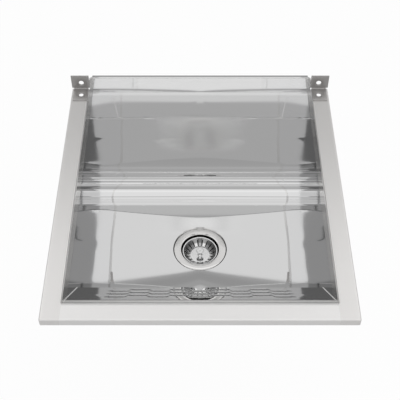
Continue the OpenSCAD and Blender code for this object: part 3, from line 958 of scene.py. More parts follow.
@dataclass
class Bowl:
    """The bent sheet: upstand, back wall, bend, floor, lower front wall and washboard.

    Attributes:
        back_r: Radius of the bend between the back wall and the floor.
        bottom_d: Distance from the wall to the floor's front corner.
        foot_h: Height above the rim up to which the upstand keeps the bowl's width.
        fall_front: Distance from the wall to where the floor is back at the height of its back edge.
        low_d: Distance from the wall to the floor's lowest line.
        straight: Share of the way down to that line that runs straight.
        ledge_d: Distance from the wall to the end of the flat ledge at the back, in the middle.
        ledge_bow: How much nearer to the wall that end is at the sides.
        ledge_power: Power of the half-width that this bow follows.
        ledge_rise: Slope of the ledge, up towards the front.
        pinch: How far the fall fades towards the sides.
        pinch_power: Power of the squared half-width that this fading follows.
        pinch_soft: Added to that square, so that the fading starts softly.
        level_from: Share of the half-width past which the floor runs level to the side panel.
        foot_blend: Height over which the lower front wall's foot follows the floor.
    """

    columns: int = 128
    hem_r: float = 2.5
    back_r: float = 58.0
    bottom_d: float = 333.0
    bottom_r: float = 1.0
    upstand_half: float = 227.9
    foot_h: float = 2.4
    corner_r: float = 8.0
    fall: float = 5.0
    fall_front: float = 318.7
    low_d: float = 191.4
    straight: float = 0.7
    ledge_d: float = 101.0
    ledge_bow: float = 24.5
    ledge_power: float = 1.35
    ledge_rise: float = 0.0105
    pinch: float = 0.333
    pinch_power: float = 0.2
    pinch_soft: float = 0.00115
    level_from: float = 0.86
    foot_blend: float = 14.0
    hole_r: float = 44.5
    flange_r: float = 57.0
    recess_r: float = 59.0
    recess_h: float = 2.2

    def __post_init__(self) -> None:
        """Works out where the floor starts and ends."""
        rise = math.atan2(CREASE[1] - FLOOR, CREASE[0] - self.bottom_d)
        self.floor_back = BACK_GAP + self.back_r
        self.floor_front = self.bottom_d - self.bottom_r * math.tan(rise / 2)
        self.split = ((self.bottom_d + CREASE[0]) / 2, (FLOOR + CREASE[1]) / 2)
        self.across = between(-INNER_X, INNER_X, self.columns)

    def floor_height(self, x: float, d: float) -> float:
        """Works out the pressed floor's shape.

        Args:
            x: Distance from the tub's middle.
            d: Distance from the wall.

        Returns:
            Its height above its back edge.
        """
        side = abs(x) / INNER_X
        side -= max(0.0, side - self.level_from) ** 2 / (2 * (1 - self.level_from))
        ledge = self.ledge_d - self.ledge_bow * side ** self.ledge_power
        if d < ledge:
            return self.ledge_rise * (d - self.floor_back)
        crest = self.ledge_rise * (ledge - self.floor_back)
        depth = self.fall * (1 - self.pinch * (side * side + self.pinch_soft) ** self.pinch_power)
        if d < self.low_d:
            share = (d - ledge) / (self.low_d - ledge)
            run = share - max(0.0, share - self.straight) ** 2 / (2 * (1 - self.straight))
            return crest - (crest + depth) * run * 2 / (1 + self.straight)
        share = (d - self.low_d) / (self.fall_front - self.low_d)
        return -depth * (1 - share * share)

    def front_lift(self, x: float, z: float) -> float:
        """Returns how far the lower front wall's foot is raised to meet the floor."""
        return self.floor_height(x, self.floor_front) * max(0.0, 1 - (z - FLOOR) / self.foot_blend)

    def half_width(self, z: float) -> float:
        """Works out the sheet's width.

        Args:
            z: Height above the rim.

        Returns:
            Half of the width there.
        """
        if z <= self.foot_h:
            return INNER_X
        drop = max(0.0, z - (UPSTAND_H - self.corner_r))
        return self.upstand_half - self.corner_r + math.sqrt(max(0.0, self.corner_r ** 2 - drop ** 2))

    def back_rows(self) -> Rows:
        """Lays out the sheet from the upstand's top to the floor.

        Returns:
            Its rows of points.
        """
        path = resampled(rounded([(0.0, UPSTAND_H, 0), (BACK_GAP, UPSTAND_H, self.hem_r),
                                  (BACK_GAP, FLOOR, self.back_r), (self.floor_back, FLOOR, 0)], 2.2), 12)
        step, edge = 0.5, 0.02
        path = [*[p for p in path if p[1] > self.foot_h + step], (BACK_GAP, self.foot_h + edge),
                (BACK_GAP, self.foot_h), *[p for p in path if p[1] < self.foot_h - step]]
        halves = [self.half_width(z) for _, z in path]
        return [[at(x, *p) for x in between(-half, half, self.columns)] for p, half in zip(path, halves)]

    def floor_rings(self) -> Rows:
        """Lays out the floor from the drain's hole to its edges.

        Returns:
            Its rings of points.
        """
        drain = (0.0, DRAIN_D)
        edge = border(self.across, between(self.floor_back, self.floor_front, self.columns // 2))
        low = -self.fall - self.recess_h
        steps = [(self.hole_r, low), (50.0, low), (self.flange_r, low), (self.flange_r + 0.9, low + 0.9),
                 (self.recess_r - 0.3, -self.fall - 0.25)]
        rings = [[at(x, d, FLOOR + z) for x, d in ring_round(drain, edge, r)] for r, z in steps]
        count, crowding = 46, 1.25
        for share in [*[(k / count) ** crowding for k in range(count)], 0.998, 1.0]:
            ring = ring_round(drain, edge, self.recess_r, share)
            rings.append([at(x, d, FLOOR + self.floor_height(x, d)) for x, d in ring])
        return rings

    def foot_rows(self) -> Rows:
        """Lays out the sheet from the floor's front edge to the split in the lower front wall.

        Returns:
            Its rows of points.
        """
        path = resampled(rounded([(self.floor_front, FLOOR, 0), (self.bottom_d, FLOOR, self.bottom_r),
                                  (*self.split, 0)], 5), 12)
        return [[at(x, d, z + self.front_lift(x, z)) for x in self.across] for d, z in path]

    def washboard(self) -> None:
        """Builds the upper half of the front with its pressed ridges."""
        lower = resampled([self.split, CREASE], 8)
        upper = resampled([CREASE, slope_place(SLOPE_RUN - FRONT_SKIRT)], 1.45)
        across = between(-INNER_X, INNER_X, 2 * self.columns)
        patch = Patchwork().grid([[at(x, *p) for x in across] for p in [*lower, *upper[1:]]])
        mesh = patch.mesh("washboard", (at(0, *slope_place(60)), Vector((0, 1, 1))))
        mesh = RidgeTool().shape(mesh, POLISHED)
        settle(solid(mesh, "washboard", POLISHED, SHEET), "polished_steel")

    def build(self) -> None:
        """Builds the sheet in two pieces, of which the washboard is the second."""
        patch = Patchwork().grid(self.back_rows())
        patch.grid(self.floor_rings(), ring=True)
        patch.grid(self.foot_rows())
        mesh = patch.mesh("bowl_sheet", (at(0, BACK_GAP, -100), Vector((0, -1, 0))))
        settle(solid(mesh, "bowl_sheet", POLISHED, SHEET), "polished_steel", "wrap_sheet")
        self.washboard()


@dataclass
class SidePanel:
    """A flat sheet that closes one side of the bowl, and its weld bead.

    Attributes:
        side: -1 for the left and 1 for the right.
        gap: Width of the dark seam under the rim's skirt.
        tuck: How far the panel's folded top goes up behind the skirt.
    """

    side: int
    bowl: Bowl
    gap: float = 0.9
    tuck: float = 2.0
    bead_r: float = 0.95

    def outline(self) -> list[Side]:
        """Follows the bowl's back, floor and front.

        Returns:
            The panel's side view.
        """
        bowl, top = self.bowl, -SIDE_SKIRT - self.gap
        path = rounded([(BACK_GAP, top, 0), (BACK_GAP, FLOOR, bowl.back_r),
                        (bowl.floor_back, FLOOR, 0)], 3)[:-1]
        for d in between(bowl.floor_back, bowl.floor_front, 40):
            path.append((d, FLOOR + bowl.floor_height(INNER_X, d)))
        run = SLOPE_RUN + top / math.sin(SLOPE_ANGLE)
        front = rounded([(bowl.floor_front, FLOOR, 0), (bowl.bottom_d, FLOOR, bowl.bottom_r), (*CREASE, 0),
                         (*slope_place(run), 0)], 5)[1:]
        return path + [(d, z + bowl.front_lift(INNER_X, z)) for d, z in front]

    def panel(self) -> None:
        """Builds the panel, whose top folds out and up behind the rim's skirt."""
        path, side = self.outline(), self.side
        runs = [0.0]
        for a, b in zip(path, path[1:]):
            runs.append(runs[-1] + math.dist(a, b))
        low = [at(side * INNER_X, d, z) for d, z in path]
        high = [low[0].lerp(low[-1], run / runs[-1]) for run in runs]
        ends = list(zip(low, high))
        patch = Patchwork().grid([[a.lerp(b, share) for a, b in ends] for share in between(0, 1, 14)])
        out = [point + Vector((side * SHEET * MM, 0, 0)) for point in high]
        patch.grid([high, out, [point + Vector((0, 0, (self.gap + self.tuck) * MM)) for point in out]])
        name = f"{SIDES[side]}_panel"
        mesh = patch.mesh(name, (at(side * INNER_X, 200, -150), Vector((-side, 0, 0))))
        panel = solid(mesh, name, PANEL, SHEET, flat=True)
        settle(panel, "polished_steel", f"{SIDES[side]}_side_panel")

    def bead(self) -> None:
        """Builds the weld bead along the front's side edge."""
        inset, foot = 20, self.bowl.bottom_d
        start = (foot + inset, FLOOR + inset * (CREASE[1] - FLOOR) / (CREASE[0] - foot))
        path = resampled([start, CREASE, slope_place(SLOPE_RUN - 8)], 3)
        last = len(path) - 1
        rows = []
        for k, (d, z) in enumerate(path):
            way = (Vector(path[min(last, k + 1)]) - Vector(path[max(0, k - 1)])).normalized()
            ripple = 1 + 0.12 * math.sin(k * 1.7)
            size = self.bead_r * ripple * min(1.0, 0.3 + 0.35 * min(k, last - k))
            ring = [(INNER_X - math.cos(turn) * size, math.sin(turn) * size) for turn in turns(8)]
            rows.append([at(self.side * x, d - way.y * up, z + way.x * up) for x, up in ring])
        name = f"{SIDES[self.side]}_weld"
        settle(solid(Patchwork().bar(rows).mesh(name), name, WELD), "polished_steel")

    def build(self) -> None:
        """Builds both pieces."""
        self.panel()
        self.bead()


# The rim

@dataclass
class SideRim:
    """The satin strip along one side of the bowl.

    Attributes:
        side: -1 for the left and 1 for the right.
        hole_r: Radius of the screw hole under each bracket.
        sink: How far the skirt's cut edge goes into the washboard.
        hole_rows: Distances from the wall to the rows of points round that hole.
    """

    side: int
    fold_r: float = 3.0
    hole_r: float = 5.5
    sink: float = 0.2
    hole_rows: tuple[float, ...] = (0.0, 10.0, 30.0, 40.0)

    def __post_init__(self) -> None:
        """Works out the rows and columns of points that the strip's parts share."""
        self.rows = [*self.hole_rows, *between(52, SLOPE_TOP[0], 40)]
        self.columns = between(INNER_X + self.fold_r, HALF_W - LIP_R, 10)
        self.front = DEPTH - LIP_R
        self.patch = Patchwork()

    def place(self, x: float, d: float, z: float = 0.0) -> Vector:
        """Returns the place at that distance from the tub's middle, on the strip's own side."""
        return at(self.side * x, d, z)

    def add_lip(self) -> None:
        """Adds the lip and its fold, along the side, round the corner and along the front."""
        edge = HALF_W - LIP_R
        spots = [(edge, d, 1.0, 0.0) for d in (*self.rows, self.front)]
        spots += [(edge, self.front, math.cos(turn), math.sin(turn)) for turn in quarter(6)[1:]]
        spots += [(x, self.front, 0.0, 1.0) for x in (*self.columns[-2::-1], INNER_X)]
        fold = [(LIP_R * math.sin(a), LIP_R * (math.cos(a) - 1)) for a in quarter(6)]
        fold += [(LIP_R, z) for z in between(-LIP_R, -LIP_H, 3)[1:]]
        self.patch.grid([[self.place(x + out * ox, d + out * od, z) for x, d, ox, od in spots]
                         for out, z in fold])

    def add_top(self) -> None:
        """Adds the flat top with its screw hole."""
        edge = border(self.columns, self.hole_rows)
        rings = [ring_round(RIM_HOLE, edge, self.hole_r, share) for share in (0.0, 0.35, 1.0)]
        self.patch.grid([[self.place(*spot) for spot in ring] for ring in rings], ring=True)
        behind = self.rows[len(self.hole_rows) - 1:]
        self.patch.grid([[self.place(x, d) for x in self.columns] for d in behind])
        corner = (SLOPE_TOP[0], self.front)
        self.patch.grid([[self.place(x, d) for x in (INNER_X, *self.columns)] for d in corner])

    def add_skirt(self) -> None:
        """Adds the inner fold and the skirt, cut along the washboard."""
        r = self.fold_r
        fold = [(INNER_X + r * (1 - math.sin(a)), r * (math.cos(a) - 1)) for a in quarter(6)]
        self.patch.grid([[self.place(x, d, z) for d in self.rows] for x, z in fold])
        cut = [(d, (d - SLOPE_TOP[0]) * math.tan(SLOPE_ANGLE) - self.sink) for d in self.rows]
        self.patch.grid([[self.place(INNER_X, d, min(-r, max(level, low))) for d, low in cut]
                         for level in between(-r, -SIDE_SKIRT, 10)])

    def build(self) -> None:
        """Builds the strip."""
        self.add_lip()
        self.add_top()
        self.add_skirt()
        name = f"{SIDES[self.side]}_rim_strip"
        mesh = self.patch.mesh(name, (self.place(250, 300), Vector((0, 0, 1))))
        settle(solid(mesh, name, RIM_DEPTH, SHEET), "satin_steel", f"{SIDES[self.side]}_rim")


@dataclass
class FrontRim:
    """The satin strip along the front, with its fold onto the washboard.

    Attributes:
        seam: Half of the gap between this strip and a side strip.
        overlap: How far its lower edge reaches over the washboard's upper edge.
    """

    fold_r: float = 12.0
    seam: float = 0.18
    overlap: float = 0.25

    def build(self) -> None:
        """Builds the strip."""
        path = rounded([(DEPTH, -LIP_H, 0), (DEPTH, 0.0, LIP_R), (*SLOPE_TOP, self.fold_r),
                        (*slope_place(SLOPE_RUN - FRONT_SKIRT + self.overlap), 0)], 5)
        across = between(2 * self.seam - INNER_X, INNER_X - 2 * self.seam, 48)
        patch = Patchwork().grid([[at(x, *p) for x in across] for p in resampled(path, 6)])
        mesh = patch.mesh("front_rim_strip", (at(0, 548, 0), Vector((0, 0, 1))))
        settle(solid(mesh, "front_rim_strip", RIM_WIDTH, SHEET), "satin_steel", "front_rim")


@dataclass
class Bracket:
    """The L bracket in one back corner, with its dimpled screw holes.

    Attributes:
        side: -1 for the left and 1 for the right.
        upright: Inner and outer edge of the upright tab.
        flat: Inner and outer edge of the flat tab.
        reach: Reach of the flat tab from the wall.
        wall_hole_up: Height of the wall screw hole.
    """

    side: int
    thickness: float = 2.0
    bend_r: float = 2.0
    upright: Side = (228.0, 264.5)
    flat: Side = (231.0, 260.5)
    reach: float = 38.0
    wall_hole_up: float = 17.0
    hole_r: float = 5.0
    dimple_r: float = 8.0
    dimple_h: float = 0.8
    bevel: float = 0.35

    def add_tab(self, patch: Patchwork, edge: Sequence[Side], hole: Side,
                place: Callable[[float, float, float], Vector]) -> None:
        """Adds one flat tab with its dimpled hole.

        Args:
            patch: The patchwork to add to.
            edge: The points round the tab's edge.
            hole: Centre of its hole.
            place: Turns (across, along, sunk) into a point.
        """
        hole_r, dimple_r, deep = self.hole_r, self.dimple_r, self.dimple_h
        levels = [(hole_r, deep), (hole_r + 1.2, deep * 0.75), (dimple_r - 0.7, deep * 0.2), (dimple_r, 0.04),
                  (dimple_r + 0.8, 0.0)]
        rings = [[place(x, v, sunk) for x, v in ring_round(hole, edge, radius)] for radius, sunk in levels]
        patch.grid([*rings, [place(x, v, 0.0) for x, v in edge]], ring=True)

    def build(self) -> None:
        """Builds the bracket, and brings its bevelled edges back to the wall and the rim."""
        t, r, side = self.thickness, self.bend_r, self.side
        inside = between(*self.flat, 12)
        wide = [self.upright[0], *inside, (self.flat[1] + self.upright[1]) / 2, self.upright[1]]
        patch = Patchwork()
        self.add_tab(patch, border(inside, between(t + r, self.reach, 10)), RIM_HOLE,
                     lambda x, v, sunk: at(side * x, v, t - sunk))
        self.add_tab(patch, border(wide, between(t + r, UPSTAND_H, 10)), (RIM_HOLE[0], self.wall_hole_up),
                     lambda x, v, sunk: at(side * x, t - sunk, v))
        bend = [(t + r - r * math.sin(a), t + r - r * math.cos(a)) for a in quarter(5)]
        patch.grid([[at(side * x, d, z) for x in inside] for d, z in bend])
        name = f"{SIDES[side]}_wall_bracket"
        mesh = patch.mesh(name, (at(side * 232, t, 30), Vector((0, -1, 0))))
        made = solid(mesh, name, BRACKET, t, self.bevel, sharp=40)
        for point in made.data.vertices:
            point.co.y = min(point.co.y, 0.0)
            point.co.z = max(point.co.z, RIM_Z * MM)
        settle(made, "bracket_steel", f"{SIDES[side]}_bracket")


# The waste

@dataclass
class Waste:
    """The strainer's flange and cup, the nuts and washers under it, and the tailpiece.

    Attributes:
        cup_r: Outer radius of the cup's thread.
        seat: Depth of the stopper's seat below the flange.
        neck: Depth of the bottom edge below the flange.
        neck_r: Outer radius of the outlet's thread.
        nut_r: Radius over the slip nut's corners.
    """

    flange_r: float = 57.0
    mouth_r: float = 41.75
    cup_r: float = 43.5
    seat: float = 25.1
    neck: float = 58.0
    neck_r: float = 23.9
    outlet_r: float = 19.8
    thread_pitch: float = 2.31
    thread_h: float = 0.9
    hub_r: float = 5.6
    arm_w: float = 3.0
    arm_h: float = 2.0
    lugs: int = 8
    nut_h: float = 18.0
    nut_r: float = 29.9

    def body(self) -> Piece:
        """Builds the flange, the cup and the outlet.

        Returns:
            The piece.
        """
        inner, bore = self.cup_r - self.thread_h, self.neck_r - self.thread_h
        mouth, seat = self.mouth_r, -self.seat
        path = rounded([
            (self.flange_r, -1.2, 0), (self.flange_r, 0.0, 0.8), (mouth + 3, 0.0, 2.0), (mouth, -0.8, 1.2),
            (mouth - 0.4, -3.0, 0.8), (mouth - 1.0, seat + 2, 2.0), (27.0, seat, 6),
            (self.outlet_r, seat, 1.2), (self.outlet_r, -self.neck, 0), (bore, -self.neck, 0),
            (bore, seat - 7.0, 2.0), (27.9, seat - 2.5, 2.0), (40.0, seat - 1.3, 1.2), (inner, seat + 1, 1.0),
            (inner, -1.2, 0)], 12)
        mesh = lathe("strainer_cup", [(r, z + FLANGE_TOP) for r, z in path], 128)
        return solid(mesh, "strainer_cup", WASTE, sharp=30)

    def threads(self, name: str, radius: float, low: float, high: float) -> Piece:
        """Builds a run of thread rings.

        Args:
            name: The piece's name.
            radius: Radius over the thread.
            low: Height of the lowest ring, below the flange.
            high: Height of the highest ring.

        Returns:
            The rings.
        """
        crest, half = 0.12, self.thread_pitch / 2
        root, sunk = radius - self.thread_h, radius - self.thread_h - 0.3
        profile = [(sunk, -half), (root, -half * 0.9), (radius, -crest), (radius, crest), (root, half * 0.9),
                   (sunk, half)]
        ring = lathe(name, [(r, z + low + FLANGE_TOP) for r, z in profile], 72)
        tool = StackTool(name, int((high - low) / self.thread_pitch) + 1, self.thread_pitch)
        return solid(tool.shape(ring, WASTE), name, WASTE, sharp=30)

    def cross(self) -> None:
        """Builds the cross that guides the basket's post."""
        top = FLANGE_TOP - self.seat - 7.0
        low, half, bore = top - self.arm_h, self.arm_w / 2, 3.4
        hub = lathe("cross_hub", [(bore, top), (self.hub_r, top), (self.hub_r + 0.3, top - 0.3),
                                  (self.hub_r + 0.3, low), (bore, low)], 40)
        parts = [solid(hub, "cross_hub", WASTE)]
        section = [(-half, top), (half, top), (half, low), (-half, low)]
        for turn in turns(4):
            cos, sin = math.cos(turn), math.sin(turn)
            ends = [[at_drain(r * cos - u * sin, r * sin + u * cos, z) for u, z in section]
                    for r in (self.hub_r - 0.1, self.outlet_r + 0.4)]
            parts.append(solid(Patchwork().bar(ends).mesh("cross_arm"), "cross_arm", WASTE, bevel=0.3))
        settle(joined("strainer_cross", parts), "waste_steel")

    def lock_nut(self) -> None:
        """Builds the lugged nut under the floor."""
        top, low = FLANGE_TOP - 7.22, FLANGE_TOP - 17.2
        bore, ring_r, lug_r, half = self.cup_r + 0.05, 53.0, 57.0, 4.5
        body = [(bore, top), (ring_r - 0.6, top), (ring_r, top - 0.6), (ring_r, low + 0.6),
                (ring_r - 0.6, low), (bore, low)]
        ring = solid(lathe("nut_ring", body), "nut_ring", CAST)
        corners = [(ring_r - 0.4, -half), (lug_r - 0.8, -half), (lug_r, 0.9 - half), (lug_r, half - 0.9),
                   (lug_r - 0.8, half), (ring_r - 0.4, half)]
        rows = [[at_drain(r, u, z) for r, u in corners] for z in (top - 0.3, low + 0.3)]
        mesh = RoundTool("nut_lugs", self.lugs).shape(Patchwork().bar(rows).mesh("nut_lugs"), CAST)
        nut = joined("lock_nut_lugged", [ring, solid(mesh, "nut_lugs", CAST, bevel=0.4)])
        settle(nut, "nut_metal", "lock_nut")

    def tail_nut(self) -> None:
        """Builds the hexagon slip nut with chamfered corners."""
        base, side = FLANGE_TOP - self.neck - 6.3, math.pi / 3
        flats = self.nut_r * math.cos(side / 2)
        levels = [(0.0, flats - 0.6), (1.6, self.nut_r), (self.nut_h - 1.6, self.nut_r),
                  (self.nut_h, flats - 0.6), (self.nut_h, 23.95), (3.0, 23.95), (3.0, 19.35), (0.0, 19.35)]
        rows = []
        for z, limit in levels:
            reach = [(a, min(limit, flats / math.cos((a + side / 2) % side - side / 2))) for a in turns(96)]
            rows.append([at_drain(r * math.sin(a), r * math.cos(a), base + z) for a, r in reach])
        patch = Patchwork().grid([*rows, rows[0]], ring=True)
        settle(solid(patch.mesh("slip_nut"), "slip_nut", PLATED, sharp=25), "plated_brass", "tail_nut")

    def tail_tube(self) -> None:
        """Builds the tailpiece."""
        top, bore, tube, collar, flange = FLANGE_TOP - self.neck - 1.8, 18.05, 19.05, 19.25, 23.4
        path = rounded([(bore, top, 0), (flange, top, 0.3), (flange, top - 1.5, 0.3),
                        (collar, top - 1.5, 0.4), (collar, top - 7.5, 0), (tube, top - 7.5, 0),
                        (tube, top - 100, 0.25), (bore, top - 100, 0)], 20)
        settle(solid(lathe("tail_tube", path), "tail_tube", PLATED, sharp=30), "plated_brass", "tailpiece")

    def build(self) -> None:
        """Builds the waste's pieces and dresses its plain washers."""
        cup = joined("strainer_cup", [self.body(), self.threads("cup_threads", self.cup_r, -22.0, -6.0)])
        settle(cup, "waste_steel", "strainer_body")
        settle(self.threads("outlet_threads", self.neck_r, 1.2 - self.neck, -34.0), "waste_steel")
        self.cross()
        self.lock_nut()
        self.tail_nut()
        self.tail_tube()
        for node, finish in (("flange_seal", RUBBER), ("under_washer", RUBBER), ("fibre_ring", FIBRE),
                             ("tail_washer", PLASTIC)):
            dress(node, finish)


# The basket

@dataclass
class Basket:
    """The lift-out basket with its knob, post and stopper.

    Attributes:
        rim_depth: Depth of the rim below the flange.
        floor_depth: Depth of the floor below the flange.
        knob_h: Height of the knob above the basket's floor.
    """

    rim_r: float = 38.25
    rim_w: float = 2.6
    rim_depth: float = 5.5
    fold_h: float = 1.2
    floor_r: float = 21.0
    floor_depth: float = 20.0
    steel: float = 0.8
    slots: int = 18
    slot_w: float = 2.6
    slot_l: float = 14.0
    knob_r: float = 8.0
    knob_h: float = 16.5
    post_r: float = 3.0
    post_l: float = 18.0

    def __post_init__(self) -> None:
        """Works out the slotted cone's ends and the length of its side."""
        self.floor = FLANGE_TOP - self.floor_depth
        self.low = (self.floor_r, self.floor)
        self.high = (self.rim_r - self.rim_w, FLANGE_TOP - self.rim_depth - self.fold_h)
        self.length = math.dist(self.low, self.high)

    def cone(self, run: float) -> Side:
        """Returns the cone's radius and height at a run up its side."""
        (r0, z0), (r1, z1) = self.low, self.high
        return r0 + (r1 - r0) * run / self.length, z0 + (z1 - z0) * run / self.length

    def slot_ring(self, edge: Sequence[Side], grow: float, share: float) -> list[Vector]:
        """Lays a ring of points between a slot and the edge of its sector.

        Args:
            edge: The sector's edge, as (angle, run up the side).
            grow: How much wider than the slot the ring starts.
            share: Share of the way from there to the edge.

        Returns:
            The points.
        """
        middle = self.length / 2
        reach, size = (self.slot_l - self.slot_w) / 2, self.slot_w / 2 + grow
        made = []
        for a, s in edge:
            v = s - middle
            spine = max(-reach, min(reach, v * reach / middle))
            way = Vector((a * self.cone(s)[0], v - spine)).normalized()
            start = spine + way.y * size
            swing = way.x * size / self.cone(start + middle)[0]
            r, z = self.cone(start + (v - start) * share + middle)
            angle = swing + (a - swing) * share
            made.append(at_drain(r * math.cos(angle), r * math.sin(angle), z))
        return made

    def shell(self) -> None:
        """Builds the slotted shell from one slot's sector."""
        half = math.pi / self.slots
        angles = between(-half, half, 8)
        edge = border(angles, between(0, self.length, 16))
        border_w = 0.25
        steps = ((0.0, 0.0), (border_w, 0.0), (border_w, 0.5), (border_w, 1.0))
        patch = Patchwork().grid([self.slot_ring(edge, *step) for step in steps], ring=True)
        patch.grid(around(resampled([(self.post_r, self.floor), self.low], 3.5), angles))
        top = FLANGE_TOP - self.rim_depth
        rim = rounded([(*self.high, 0), (self.rim_r - self.rim_w + 0.4, top, 0.35), (self.rim_r, top, 0)], 20)
        patch.grid(around(rim, angles))
        mesh = patch.mesh("basket_sector", (at_drain(12, 0, self.floor), Vector((0, 0, 1))))
        mesh = RoundTool("basket_slots", self.slots).shape(mesh, BASKET)
        shell = solid(mesh, "strainer_basket", BASKET, self.steel, sharp=28)
        settle(shell, "basket_steel", "basket_shell", body="basket")

    def knob(self) -> None:
        """Builds the flared knob and its post."""
        post, top = self.post_r, self.knob_h
        waist, foot, count = post + 0.7, post + 2.5, 12
        flare = [(waist + (self.knob_r - waist) * (k / count) ** 2, 2 + (top - 3.4) * k / count,
                  0 if k else 0.3) for k in range(count + 1)]
        path = rounded([(0, -self.post_l, 0), (post, -self.post_l, 0.7), (post, 0, 0), (foot, 0, 0.3),
                        (foot, 1.0, 0.5), *flare, (self.knob_r + 0.1, top - 0.7, 0.6),
                        (self.knob_r - 0.7, top, 0.5), (1.2, top - 0.15, 0), (0, top - 0.25, 0)], 15)
        mesh = lathe("lift_knob", [(max(0.0, r), z + self.floor) for r, z in path], 64, closed=False)
        settle(solid(mesh, "lift_knob", BASKET, sharp=40), "basket_steel", "basket_knob", body="basket")

    def stopper(self) -> None:
        """Builds the rubber stopper."""
        top, low = self.floor - self.steel, FLANGE_TOP - 24.8
        corners = [(self.post_r, top), (21.0, top), (23.0, low + 0.6), (22.6, low), (20.2, low),
                   (19.6, low + 0.7), (12.0, low + 0.4), (11.4, low), (self.post_r, low)]
        stopper = solid(lathe("rubber_stopper", corners), "rubber_stopper", RUBBER, sharp=40)
        settle(stopper, "rubber", "stopper_seal", body="basket")

    def build(self) -> None:
        """Builds the basket's pieces and dresses its plain washer and nut."""
        self.shell()
        self.knob()
        self.stopper()
        dress("backing_washer", BASKET)
        dress("post_nut", CAST)


# The studio

